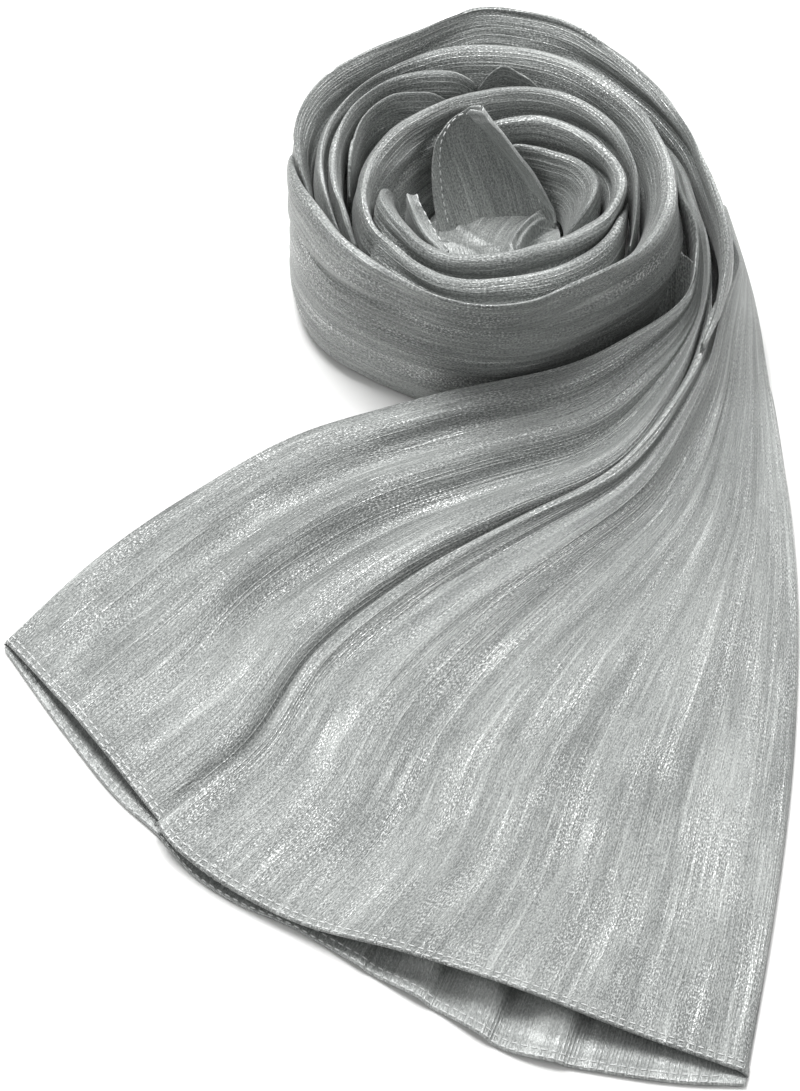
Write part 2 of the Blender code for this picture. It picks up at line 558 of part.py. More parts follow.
def even_stations(rows, count):
    """Places along a panel, in sections, evenly spaced on its middle line up to its hem."""
    fine = np.linspace(0, len(rows) - 1, 400)
    sides = spline(range(len(rows)), [row[:4] for row in rows], fine)
    middle = (sides[:, 0:2] + sides[:, 2:4]) / 2
    length = np.concatenate([[0], np.cumsum(np.linalg.norm(np.diff(middle, axis=0), axis=1))])
    reach = length[-1] - HEM_WIDTH - SEAM_GAP
    return np.interp(np.linspace(0, reach, count), length, fine)


def left_panel_grid(count=28):
    """Outer points of the left panel, from behind its upper edge to under the pleat."""
    along = even_stations(LEFT_PANEL, count)
    across = np.array([0, .06, .14, .22, .30, .38, .45, .52, .60, .68, .75, .82, .88, .94, 1.0])
    plan, z, side = across_tail(LEFT_PANEL, LEFT_FOLDS, LEFT_STATIONS, along, across)
    behind, under = spline(range(len(LEFT_PANEL)), [row[4:] for row in LEFT_PANEL], along).T
    back, tuck = [], []
    depth = np.minimum(z[:, 0] - PANEL_FOOT_Z, 4 * behind**2)
    for share, drop in ((1.0, 1.0), (0.95, 0.62), (0.7, 0.25)):
        foot = z[:, 0] - depth * drop
        edge = plan[:, 0] - side[:, 0] * (behind * share)[:, None]
        back.append(np.concatenate([edge, foot[:, None]], axis=1))
    for share, drop in ((0.5, 0.8), (1.0, 1.4)):
        edge = plan[:, -1] + side[:, 0] * (under * share)[:, None]
        foot = np.maximum(z[:, -1] - drop * np.minimum(under / 3, 1), CLOTH + PANEL_FOOT_Z)
        tuck.append(np.concatenate([edge, foot[:, None]], axis=1))
    top = np.concatenate([plan, z[..., None]], axis=2)
    return np.concatenate([np.stack(back, axis=1), top, np.stack(tuck, axis=1)], axis=1)


def right_panel_grid(count=28):
    """Outer points of the right panel, from its rolled edge to the floor at the outer fold."""
    along = even_stations(RIGHT_PANEL, count)
    across = np.array([0, .025, .05, .085, .12, .19, .27, .36, .46, .54, .62, .70, .78, .86, .94, 1.0])
    plan, z, side = across_tail(RIGHT_PANEL, RIGHT_FOLDS, RIGHT_STATIONS, along, across)
    lip, bow = spline(range(len(RIGHT_PANEL)), [row[4:] for row in RIGHT_PANEL], along).T
    down = np.stack([side[:, 0, 1], -side[:, 0, 0]], axis=1)
    bulge = np.sin(math.pi * across**0.62)
    plan = plan + down[:, None, :] * (bow[:, None] * bulge[None, :])[..., None]
    roll, fold = [], []
    for share, drop in ((1.0, 1.0), (0.8, 0.45), (0.4, 0.12)):
        edge = plan[:, 0] - side[:, 0] * (np.minimum(lip, 3.4) * share)[:, None]
        roll.append(np.concatenate([edge, (z[:, 0] - lip * drop)[:, None]], axis=1))
    for share, drop in ((0.55, 0.22), (0.9, 0.6), (1.0, 1.0)):
        edge = plan[:, -1] + side[:, 0] * OUTER_FOLD_REACH * share
        foot = z[:, -1] - (z[:, -1] - PANEL_FOOT_Z) * drop
        fold.append(np.concatenate([edge, foot[:, None]], axis=1))
    top = np.concatenate([plan, z[..., None]], axis=2)
    return np.concatenate([np.stack(roll, axis=1), top, np.stack(fold, axis=1)], axis=1)


def under_layer_grid(rows=16):
    """Top points of the under layer, with the small gathers inside the mouth."""
    along = even_stations(UNDER_LAYER, rows)
    mouth = np.linspace(GATHER_FROM, GATHER_TO, 2 * MOUTH_GATHERS + 1)
    beside = np.linspace(0, GATHER_FROM, 10)[:-1], np.linspace(GATHER_TO, 1, 5)[1:]
    across = np.concatenate([beside[0], mouth, beside[1]])
    sides = spline(range(len(UNDER_LAYER)), UNDER_LAYER, along)
    start, end = sides[:, None, 0:2], sides[:, None, 2:4]
    plan = start + (end - start) * across[None, :, None]
    side = (end - start)[:, 0] / np.linalg.norm((end - start)[:, 0], axis=1, keepdims=True)
    down = np.stack([side[:, 1], -side[:, 0]], axis=1)
    share = along / (len(UNDER_LAYER) - 1)
    bow = spline(*zip(*UNDER_BOW), across)[:, 0]
    plan = plan + down[:, None, :] * (share[:, None]**2 * bow[None, :])[..., None]
    in_mouth = np.clip((across - GATHER_FROM) / (GATHER_TO - GATHER_FROM), 0, 1)
    waves = np.sin(in_mouth * math.pi * MOUTH_GATHERS)**2 * (in_mouth > 0) * (in_mouth < 1)
    fade = np.clip((share - (1 - GATHER_LENGTH)) / GATHER_LENGTH, 0, 1)**2
    z = UNDER_THICK + GATHER_HEIGHT * waves[None, :] * fade[:, None]
    return np.concatenate([plan, z[..., None]], axis=2)


def slab(name, top, material):
    """Solid between a grid of top points and the surface it rests on."""
    rows, columns = top.shape[:2]
    depth = top[..., 2:3] * np.array([0.0, 0.0, 1.0])
    bottom = top - depth
    count = rows * columns
    faces = grid_faces(rows, columns) + grid_faces(rows, columns, count, turn=True)
    edge = [j for j in range(columns)]
    edge += [i * columns + columns - 1 for i in range(1, rows)]
    edge += [(rows - 1) * columns + j for j in range(columns - 2, -1, -1)]
    edge += [i * columns for i in range(rows - 2, 0, -1)]
    for a, b in zip(edge, edge[1:] + edge[:1]):
        faces.append((b, a, a + count, b + count))
    return add_object(name, np.concatenate([top.reshape(-1, 3), bottom.reshape(-1, 3)]),
                      faces, material)


def make_hidden_layers(material):
    """Rounded solid of the folded layers that the gathered neck hides."""
    fine = np.linspace(0, len(HIDDEN_LAYERS) - 1, 16)
    rows = spline(range(len(HIDDEN_LAYERS)), HIDDEN_LAYERS, fine)
    turn = np.linspace(0, math.pi, 11)
    across = (1 - np.cos(turn)) / 2
    low = UNDER_THICK + SEAM_GAP
    start, end = rows[:, None, 0:2], rows[:, None, 2:4]
    plan = start + (end - start) * across[None, :, None]
    z = low + rows[:, None, 4] * np.sin(turn)[None, :]
    rings = np.concatenate([plan, z[..., None]], axis=2)
    return loft("hidden_layers", rings, material)


def floor_edge(angle):
    """How far out the bottom of the hollow reaches at these angles, and its height there."""
    knots = [row.angle for row in CORE_FLOOR] + [360]
    table = [row[1:] for row in CORE_FLOOR] + [CORE_FLOOR[0][1:]]
    return spline(knots, table, angle).T


def floor_height(x, y):
    """Height of the bottom of the hollow under points given in plan."""
    x, y = x - COIL_CENTRE[0], y - COIL_CENTRE[1]
    reach, edge_z = floor_edge(np.degrees(np.arctan2(y, x)) % 360)
    share = np.minimum(np.hypot(x, y) / reach, 1.0)
    rings = np.array([0.0, *FLOOR_SHARES[::-1]])
    return CORE_MIDDLE_Z + (edge_z - CORE_MIDDLE_Z) * np.interp(share, rings, rings**2)


def make_core_floor(material):
    """Bottom of the coil's hollow: a shallow bowl of hidden layers, flat underneath."""
    angle = np.linspace(0, 360, 48, endpoint=False)
    reach, edge_z = floor_edge(angle)
    points, faces = [], []
    x, y = polar(angle, reach)
    points += list(zip(x, y, np.zeros(len(angle))))
    for share in FLOOR_SHARES:
        x, y = polar(angle, reach * share)
        z = CORE_MIDDLE_Z + (edge_z - CORE_MIDDLE_Z) * share**2
        points += list(zip(x, y, z))
    count = len(angle)
    for ring in range(len(FLOOR_SHARES)):
        for j in range(count):
            a, b = ring * count + j, ring * count + (j + 1) % count
            faces.append((a, b, b + count, a + count))
    faces.append(tuple(range(count))[::-1])
    top = len(points)
    points.append((*COIL_CENTRE, CORE_MIDDLE_Z))
    last = len(FLOOR_SHARES) * count
    for j in range(count):
        faces.append((last + j, last + (j + 1) % count, top))
    return add_object("core_floor", points, faces, material)


def end_corner_grid(rows=13, columns=9):
    """Front points of the corner that stands up in the hollow, from its foot to its tip."""
    table = END_CORNER[::-1]
    z = np.linspace(table[0].z, table[-1].z, rows)
    left_x, left_y, right_x, right_y, belly = spline([r.z for r in table],
                                                     [r[1:] for r in table], z).T
    share = np.linspace(0, 1, columns)[None, :]
    x = left_x[:, None] + (right_x - left_x)[:, None] * share
    y = left_y[:, None] + (right_y - left_y)[:, None] * share
    y = y + belly[:, None] * np.sin(math.pi * share)
    foot = floor_height(x[0], y[0]) + 5 * SEAM_GAP - z[0]
    low = (1 - (z - z[0]) / (z[-1] - z[0]))[:, None]**3
    return np.stack([x, y, z[:, None] + foot[None, :] * low], axis=2)


def make_corner_loop(material):
    """Small standing loop of hemmed cloth beside the end corner."""
    angle = np.linspace(CORNER_LOOP[0].angle, CORNER_LOOP[-1].angle, 11)
    outer, inner, top = spline([row.angle for row in CORNER_LOOP],
                               [row[1:] for row in CORNER_LOOP], angle).T
    x, y = polar(angle, outer)
    low = floor_height(x, y) + 2 * SEAM_GAP
    middle = (outer + inner) / 2
    section = [(outer, low), (outer, low + 0.5 * (top - low)), (outer, top - 1.5), (middle, top),
               (inner, top - 1.5), (inner, low + 0.5 * (top - low)), (inner, low)]
    rings = [np.stack([*polar(angle, r), z], axis=1) for r, z in section]
    loft("corner_loop", np.stack(rings, axis=1), material)


def make_back_corner(material):
    """Folded corner that stands between two turns at the back."""
    angle = np.linspace(BACK_CORNER[0].angle, BACK_CORNER[-1].angle, 13)
    foot_r, top_r, top_z = spline([row.angle for row in BACK_CORNER],
                                  [row[1:] for row in BACK_CORNER], angle).T
    share = np.linspace(0, 1, 5)
    r = foot_r[:, None] + (top_r - foot_r)[:, None] * share
    z = BACK_CORNER_FOOT_Z + (top_z - BACK_CORNER_FOOT_Z)[:, None] * share
    x, y = polar(angle[:, None], r)
    wall("back_corner", np.stack([x, y, z], axis=2), 1.0, material)


def make_panel_hem(name, grid, material):
    """Rolled hem that runs on from the last row of a panel's outer points."""
    edge = grid[-1, 2:-1]
    out = grid[-1, 2:-1] - grid[-2, 2:-1]
    out[:, 2] *= 0.5
    out /= np.linalg.norm(out, axis=1, keepdims=True)
    up = normals(grid)[-1]
    for _ in range(3):
        up[1:-1] = (up[:-2] + 2 * up[1:-1] + up[2:]) / 4
    up = up[2:-1] / np.linalg.norm(up[2:-1], axis=1, keepdims=True)
    section = [(0.0, -0.7), (0.0, 0.7), (0.2, 1.0), (0.85, 1.0), (1.0, 0.5), (1.0, -0.5),
               (0.85, -1.0), (0.2, -1.0)]
    middle = edge - up * CLOTH / 2
    rings = [middle + out * (SEAM_GAP + HEM_WIDTH * a) + up * (CLOTH / 2 + HEM_PROUD) * b
             for a, b in section]
    loft(name, np.stack(rings, axis=1), material)


def make_under_hem(grid, material):
    """Rolled hem of the under layer, flat on the surface."""
    edge = grid[-1]
    out = (grid[-1] - grid[-2])[:, :2]
    out /= np.linalg.norm(out, axis=1, keepdims=True)
    section = [(0.0, 0.0), (0.0, 0.8), (0.2, 1.0), (0.85, 1.0), (1.0, 0.6), (1.0, 0.0)]
    rings = []
    for a, b in section:
        plan = edge[:, :2] + out * (SEAM_GAP + HEM_WIDTH * a)
        rings.append(np.concatenate([plan, (edge[:, 2:] + HEM_PROUD) * b], axis=1))
    loft("hem_under", np.stack(rings, axis=1), material)


def make_turns(materials):
    """All the turns of the coil, each lying inside the ones around it."""
    bound = {}
    for turn in TURNS:
        inside = [bound[name] for name in turn.inside]
        base = OUTER_TURN_BASE if turn.name == "outer_turn" else None
        rings, bound[turn.name] = turn_rings(turn.rows, inside, base, turn.tuck, turn.samples)
        loft(turn.name, rings, materials[turn.material])


def main():
    """Build the whole part."""
    for old in list(bpy.data.objects):
        bpy.data.objects.remove(old)
    materials = {
        "outer": cloth("satin_outer", (0.38, 0.39, 0.385), 0.5),
        "inner": cloth("satin_inner", (0.42, 0.43, 0.425), 0.5),
        "tail": cloth("satin_tail", (0.50, 0.51, 0.505), 0.45),
        "hem": cloth("satin_hem", (0.56, 0.57, 0.565), 0.5),
        "hidden": cloth("satin_hidden", (0.30, 0.31, 0.305), 0.6),
    }
    make_turns(materials)
    make_core_floor(materials["hidden"])
    wall("end_corner", end_corner_grid(), CLOTH, materials["inner"])
    make_corner_loop(materials["inner"])
    make_back_corner(materials["inner"])
    left, right, under = left_panel_grid(), right_panel_grid(), under_layer_grid()
    wall("tail_left_panel", left, CLOTH, materials["tail"], narrow=24.0)
    wall("tail_right_panel", right, CLOTH, materials["tail"], narrow=110.0, share=0.4)
    slab("tail_under_layer", under, materials["tail"])
    make_panel_hem("hem_left", left, materials["hem"])
    make_panel_hem("hem_right", right, materials["hem"])
    make_under_hem(under, materials["hem"])
    make_hidden_layers(materials["hidden"])


main()
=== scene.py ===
# %% [markdown]
# # A coiled crinkle-satin hijab
# The real thing is one rectangle of silver-grey satin crinkle, 180 x 70 cm, hemmed all round.
# It is folded double along its length and wound from one end into a coil that stands on its
# edge, and the other end is fanned out flat.  The solids of the imported model give every turn
# its size and place; here each visible stretch becomes a thin sheet laid over its solid, with
# the soft folds, the fine crinkle and the stitched hems that the solids leave out.

# %% Load the solids
import math
from collections import namedtuple

import bpy
import numpy as np
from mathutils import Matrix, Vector


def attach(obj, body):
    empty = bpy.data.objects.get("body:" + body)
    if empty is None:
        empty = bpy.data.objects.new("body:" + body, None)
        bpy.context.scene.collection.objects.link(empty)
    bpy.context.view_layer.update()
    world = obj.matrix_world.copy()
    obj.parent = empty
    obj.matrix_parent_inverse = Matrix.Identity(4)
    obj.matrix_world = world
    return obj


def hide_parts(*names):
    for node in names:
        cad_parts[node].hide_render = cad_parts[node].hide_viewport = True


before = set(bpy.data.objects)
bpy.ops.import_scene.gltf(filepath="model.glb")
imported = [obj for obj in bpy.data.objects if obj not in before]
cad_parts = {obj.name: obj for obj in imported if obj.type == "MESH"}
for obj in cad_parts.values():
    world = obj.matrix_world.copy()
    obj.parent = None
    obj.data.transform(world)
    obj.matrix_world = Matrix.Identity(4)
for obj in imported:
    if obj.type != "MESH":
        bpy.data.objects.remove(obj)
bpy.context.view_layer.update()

# %% [markdown]
# ## Sizes
# Everything below is in millimetres and degrees, because a scarf is thought of in millimetres;
# one factor turns it into metres when a mesh is made.  The tables below are the ones that shape
# the solids, so each sheet lies on its solid.

# %% Named sizes
MM = 0.001
COIL_CENTRE = (39.0, 151.0)      # axis of the coil in plan
SEAM_GAP = 0.3                   # clearance between neighbouring turns
SATIN = 0.7                      # wall of one doubled layer, as it is seen at an edge
FOOT_ROUND, FOOT_TUCK = 5.0, 4.0  # rounded foot of the outer turns
RIM_HALF = 3.2                   # half the width of a turn's rounded top edge
HEM_WIDTH, HEM_PROUD = 4.6, 0.5  # rolled and stitched hem
CLOTH, UNDER_THICK = 1.2, 1.4    # walls of the panels' solids and of the under layer
STITCH, STITCH_GAP = 2.4, 1.2    # length of a hem stitch, and the gap to the next
SCARF = (700.0, 1800.0)          # the cut piece
print("cut piece:", SCARF, "mm")

# %% [markdown]
# ## Measures of the coil
# The scarf is a single long strip, folded along its length and wound into one spiral of about
# four turns.  Each turn was measured on the photograph every ten to fifteen degrees: how far
# its two sides lie from the middle of the coil, and how high its folded rim stands.  The
# visible cloth is drawn on the same measures as the solid model.  Only the first sections of
# the front wall are drawn two or three millimetres further in, with a rim up to 5 mm higher,
# because thin cloth can start flush on the turn under it, where a solid needs room.

# %% Outermost turns
# One row for each section of a turn.  "out" is the side away from the coil's axis, "in" the
# side towards it and "rim" the top edge between them: r is the radius there and z the height.
# Below out_z and in_z the two sides stand upright.
Section = namedtuple("Section", "angle out_r out_z rim_r rim_z in_r in_z")

FRONT_WALL = [
    Section(147, 87.4, 14, 87.0, 20, 86.6, 14),
    Section(157, 87.2, 24, 86.6, 38, 86.0, 26),
    Section(165, 86.8, 28, 86.2, 50, 85.3, 38),
    Section(173, 86.0, 28, 85.2, 58.5, 84.5, 43),
    Section(181, 85.8, 28, 84.0, 65, 81.6, 42),
    Section(190, 86.4, 26, 82.4, 69, 77.6, 40),
    Section(202, 87.4, 24, 80.4, 72, 74.8, 40),
    Section(215, 86.8, 24, 80.2, 72, 74.2, 40),
    Section(228, 83.6, 24, 80.6, 72, 73.8, 40),
    Section(242, 81.4, 24, 82.4, 72, 74.6, 40),
    Section(256, 82.0, 24, 86.0, 72, 78.0, 40),
    Section(267, 82.6, 24, 87.2, 72, 79.0, 40),
    Section(278, 82.0, 24, 85.6, 72, 77.6, 40),
    Section(290, 80.8, 24, 81.4, 72, 73.6, 42),
    Section(303, 79.8, 24, 79.6, 71.5, 70.6, 44),
    Section(317, 81.0, 26, 79.6, 71, 69.2, 44),
    Section(330, 82.4, 30, 77.4, 71, 66.4, 44),
    Section(341, 81.6, 32, 75.2, 71.5, 64.2, 44),
    Section(350, 78.2, 30, 72.8, 72, 62.2, 44),
]

OUTER_TURN = [
    Section(-44, 116.8, 41.6, 115.8, 43.2, 114.8, 41.6),
    Section(-38, 114.0, 44.6, 112.4, 47, 110.8, 44.6),
    Section(-31, 110.2, 46.6, 108.0, 51, 105.6, 46.6),
    Section(-24, 106.8, 50, 104.2, 57, 101.0, 49),
    Section(-16, 101.2, 54, 98.0, 63, 94.6, 50),
    Section(-8, 95.6, 40, 92.0, 66, 88.6, 50),
    Section(0, 90.2, 34, 87.4, 68, 84.2, 50),
    Section(10, 87.2, 32, 84.2, 70, 81.0, 50),
    Section(20, 85.2, 30, 82.2, 71, 77.6, 48),
    Section(30, 84.2, 28, 81.4, 72, 73.6, 44),
    Section(40, 84.4, 28, 82.0, 72, 70.4, 42),
    Section(54, 86.0, 28, 85.0, 72, 71.0, 42),
    Section(65, 87.6, 28, 89.0, 72, 71.6, 42),
    Section(80, 88.6, 28, 91.6, 72, 72.2, 42),
    Section(93, 88.6, 28, 92.6, 72, 72.6, 42),
    Section(102, 86.6, 28, 88.4, 72, 72.8, 42),
    Section(115, 84.4, 28, 83.4, 72, 72.8, 44),
    Section(130, 85.4, 28, 83.4, 72, 73.2, 46),
    Section(145, 87.4, 28, 86.0, 72, 74.4, 46),
    Section(155, 87.2, 28, 86.4, 72, 75.6, 46),
    Section(165, 86.6, 34, 85.8, 71, 75.8, 46),
    Section(175, 84.4, 34, 83.2, 68.5, 75.8, 46),
    Section(186, 79.0, 32, 78.2, 61, 74.8, 44),
    Section(197, 75.4, 30, 74.8, 50, 73.8, 42),
]

print("outermost turns:", len(FRONT_WALL), "and", len(OUTER_TURN), "sections")

# %% Second turn, and the folds at the back
SECOND_TURN = [
    Section(350.3, 78.2, 30, 72.8, 72, 62.2, 44),
    Section(360, 74.2, 40, 70.6, 72, 60.6, 46),
    Section(370, 71.4, 46, 68.6, 72, 59.2, 46),
    Section(382, 70.3, 46, 67.0, 72, 58.0, 46),
    Section(393, 69.4, 46, 65.6, 72, 57.0, 46),
    Section(405, 69.4, 44, 65.2, 72, 55.6, 44),
    Section(420, 70.4, 42, 66.0, 72, 54.0, 42),
    Section(437, 71.2, 42, 66.4, 72, 52.8, 42),
    Section(452, 71.8, 42, 67.0, 72, 53.6, 44),
    Section(466, 72.2, 42, 68.2, 72, 58.6, 48),
    Section(480, 72.2, 44, 68.8, 71.5, 63.4, 52),
    Section(491, 72.6, 46, 69.6, 71, 66.4, 54),
    Section(500, 73.0, 46, 70.4, 71, 67.8, 54),
    Section(512, 73.6, 46, 71.2, 70.5, 68.6, 54),
    Section(525, 74.4, 46, 72.0, 70, 69.2, 52),
    Section(540, 74.0, 46, 72.0, 69, 69.4, 50),
    Section(555, 73.2, 46, 71.6, 66, 69.2, 48),
    Section(566, 72.8, 44, 71.2, 58, 69.6, 46),
]

BACK_FOLD = [
    Section(98, 55.6, 44, 53.4, 64, 51.2, 44),
    Section(105, 58.0, 46, 54.6, 69, 50.4, 44),
    Section(114, 61.2, 48, 58.0, 70, 51.6, 42),
    Section(123, 64.0, 50, 61.8, 70, 55.8, 42),
    Section(131, 65.9, 52, 64.2, 70, 61.2, 46),
    Section(140, 67.2, 52, 65.6, 70, 63.6, 48),
    Section(150, 68.2, 52, 66.6, 70, 64.2, 40),
    Section(165, 68.7, 50, 66.8, 69.5, 63.0, 24),
    Section(178, 69.0, 50, 67.0, 69, 61.6, 22),
    Section(190, 68.9, 48, 67.2, 68, 61.6, 24),
    Section(204, 69.0, 46, 67.4, 64, 63.4, 34),
    Section(214, 74.4, 44, 68.6, 56, 66.4, 42),
]

BACK_FOLD_INNER = [
    Section(112, 50.8, 40, 49.0, 60, 47.4, 42),
    Section(119, 53.2, 40, 51.4, 65, 48.0, 34),
    Section(126, 57.0, 42, 55.2, 66, 50.0, 26),
    Section(133, 61.2, 44, 59.6, 66, 55.6, 24),
    Section(141, 63.2, 46, 61.8, 65.5, 59.0, 26),
    Section(150, 63.8, 44, 62.4, 65, 60.2, 26),
    Section(162, 62.6, 42, 61.2, 64, 59.2, 24),
    Section(174, 61.4, 42, 60.2, 61, 58.4, 24),
    Section(184, 61.0, 40, 60.0, 52, 58.8, 28),
]

print("second turn:", len(SECOND_TURN), "sections")

# %% Inner turns
THIRD_TURN = [
    Section(-32, 66.0, 46, 65.4, 53, 64.6, 47),
    Section(-24, 64.6, 44, 63.2, 61, 61.8, 48),
    Section(-14, 62.2, 44, 60.4, 66.5, 58.4, 50),
    Section(-3, 60.2, 44, 58.4, 69, 55.8, 50),
    Section(5, 58.8, 46, 56.3, 70, 53.2, 50),
    Section(16, 57.6, 46, 55.0, 70, 50.2, 50),
    Section(27, 56.6, 46, 53.8, 70, 47.8, 50),
    Section(37, 55.4, 44, 52.4, 70, 46.0, 50),
    Section(49, 54.0, 42, 50.6, 70, 43.6, 48),
    Section(62, 54.0, 42, 48.0, 70, 40.6, 46),
    Section(74, 53.0, 42, 45.2, 70, 37.6, 44),
    Section(87, 53.0, 42, 42.2, 70, 34.6, 40),
    Section(98, 51.4, 40, 40.4, 70, 31.6, 36),
    Section(112, 48.4, 36, 40.2, 70, 30.4, 30),
    Section(125, 50.6, 26, 40.6, 69.5, 29.6, 26),
    Section(138, 57.4, 20, 41.6, 69, 29.2, 24),
    Section(150, 63.4, 19, 44.0, 68.5, 29.6, 24),
    Section(165, 63.0, 19, 47.2, 68, 31.4, 24),
    Section(177, 61.6, 19, 50.8, 67.5, 36.0, 28),
    Section(187, 61.6, 22, 53.6, 67, 45.8, 36),
    Section(197, 62.6, 34, 56.6, 66, 51.6, 42),
    Section(207, 65.6, 42, 59.2, 65, 55.8, 46),
]

FOURTH_TURN = [
    Section(184, 42.0, 32, 40.4, 48, 38.0, 32),
    Section(190, 47.0, 38, 45.2, 60, 39.2, 32),
    Section(199, 52.4, 42, 49.0, 65, 40.0, 30),
    Section(211, 60.2, 42, 50.2, 66, 41.0, 30),
    Section(223, 57.6, 42, 51.4, 66, 42.0, 30),
    Section(237, 59.4, 42, 54.6, 66, 44.4, 32),
    Section(250, 61.0, 42, 56.0, 66, 46.0, 32),
    Section(262, 61.0, 42, 54.0, 66, 44.6, 32),
    Section(277, 60.8, 42, 51.6, 65.5, 41.4, 32),
    Section(290, 60.6, 42, 49.4, 65, 38.0, 32),
    Section(303, 66.0, 42, 50.2, 64.5, 37.6, 32),
    Section(317, 69.0, 44, 51.6, 64.5, 38.0, 32),
    Section(330, 66.2, 46, 53.6, 65, 42.0, 34),
    Section(340, 64.2, 46, 54.0, 65.5, 45.0, 38),
    Section(347, 57.6, 48, 53.0, 66, 46.0, 40),
    Section(357, 55.2, 48, 50.6, 66, 45.0, 40),
    Section(371, 51.2, 48, 45.6, 66, 41.0, 42),
    Section(386, 47.4, 48, 40.8, 66, 35.8, 44),
    Section(401, 44.8, 46, 37.0, 66, 31.8, 46),
    Section(416, 41.6, 46, 33.4, 66, 28.2, 46),
    Section(432, 37.4, 44, 29.6, 65, 25.2, 46),
    Section(443, 34.0, 42, 28.0, 64, 24.0, 46),
    Section(454, 32.0, 42, 27.6, 62, 24.6, 46),
    Section(465, 30.6, 42, 27.4, 56, 25.4, 44),
    Section(474, 29.6, 40, 27.4, 46, 26.0, 40),
]

FRONT_FOLD = [
    Section(207.3, 65.6, 42, 59.2, 65, 55.8, 46),
    Section(216, 70.0, 42, 61.0, 64, 57.8, 48),
    Section(226, 74.0, 40, 61.8, 64, 58.8, 50),
    Section(238, 74.6, 38, 65.0, 64, 60.4, 52),
    Section(250, 76.6, 36, 68.2, 64.5, 61.8, 52),
    Section(261, 78.4, 36, 68.0, 64.5, 61.8, 52),
    Section(271, 78.4, 36, 65.4, 64, 61.0, 52),
    Section(282, 74.0, 38, 64.0, 63.5, 59.6, 50),
    Section(296, 71.0, 38, 63.2, 63, 58.4, 50),
    Section(310, 68.6, 40, 61.8, 62, 57.2, 50),
    Section(323, 64.0, 42, 60.0, 61, 56.2, 50),
    Section(334, 60.4, 44, 57.6, 59, 55.2, 48),
    Section(342, 58.0, 46, 56.8, 56.5, 55.4, 49),
    Section(350, 57.2, 49, 56.5, 53, 55.8, 49.5),
]

INNER_FOLD = [
    Section(-66, 37.4, 26, 36.8, 31, 34.4, 26),
    Section(-50, 37.5, 30, 37.0, 40, 32.6, 28),
    Section(-35, 40.0, 33, 38.8, 51, 31.2, 30),
    Section(-20, 44.0, 36, 42.2, 59, 30.6, 32),
    Section(-8, 45.2, 38, 42.8, 61.5, 30.4, 34),
    Section(3, 43.8, 39, 40.6, 61, 29.8, 34),
    Section(15, 39.8, 40, 36.8, 60, 29.2, 32),
    Section(30, 34.2, 42, 31.2, 58.5, 26.2, 30),
    Section(48, 29.4, 42, 26.6, 58, 22.4, 30),
    Section(70, 24.8, 42, 22.6, 57, 20.0, 32),
    Section(88, 22.4, 40, 21.4, 50, 20.0, 38),
]

print("inner turns:", len(THIRD_TURN), len(FOURTH_TURN), len(FRONT_FOLD), len(INNER_FOLD))

# %% Order of the turns, and the bottom of the hollow
# The turns in the order they are laid in, each inside the ones it names.
Turn = namedtuple("Turn", "name rows inside")
TURNS = [
    Turn("front_wall", FRONT_WALL, ()),
    Turn("outer_turn", OUTER_TURN, ("front_wall",)),
    Turn("second_turn", SECOND_TURN, ("front_wall", "outer_turn")),
    Turn("back_fold", BACK_FOLD, ("front_wall", "second_turn")),
    Turn("back_fold_inner", BACK_FOLD_INNER, ("back_fold",)),
    Turn("front_fold", FRONT_FOLD, ("front_wall", "back_fold")),
    Turn("third_turn", THIRD_TURN,
         ("front_wall", "second_turn", "back_fold", "back_fold_inner", "front_fold")),
    Turn("fourth_turn", FOURTH_TURN, ("front_wall", "front_fold", "third_turn")),
    Turn("inner_fold", INNER_FOLD, ("fourth_turn",)),
]

# The lifted start of the outer turn lies over the fanned end: height of its underside.
OUTER_TURN_BASE = [(-44, 40.0), (-38, 42.4), (-31, 43.6), (-24, 43.6), (-18, 43.4), (-15, 14.0),
                   (-12, 0.0), (197, 0.0)]

# Bottom of the coil's hollow: how far out it reaches, and its height there.
Floor = namedtuple("Floor", "angle reach edge_z")
CORE_FLOOR = [
    Floor(0, 28.8, 26), Floor(15, 28.2, 24), Floor(30, 25.4, 22), Floor(50, 21.4, 20),
    Floor(70, 19.4, 20), Floor(90, 19.4, 20), Floor(104, 24.2, 20), Floor(116, 25.0, 21),
    Floor(124, 27.8, 22), Floor(134, 28.2, 22), Floor(150, 28.6, 22), Floor(165, 30.4, 22),
    Floor(178, 35.2, 24), Floor(190, 38.0, 28), Floor(210, 40.0, 29), Floor(235, 43.0, 31),
    Floor(255, 44.6, 31), Floor(272, 41.0, 31), Floor(284, 35.4, 30), Floor(300, 33.6, 30),
    Floor(312, 31.4, 29), Floor(326, 30.0, 28), Floor(342, 29.4, 27),
]
CORE_MIDDLE_Z = 21.0             # height of the middle of that bottom
print("turns laid in:", ", ".join(turn.name for turn in TURNS))

# %% [markdown]
# ## Measures of the fanned end
# Past the coil the folded strip opens into two overlapping panels over one under layer.  Each
# is given by sections from the gathered neck to the hem, with the folds that run down it as
# heights at a few of those sections, because real folds keep their line and fade in and out.

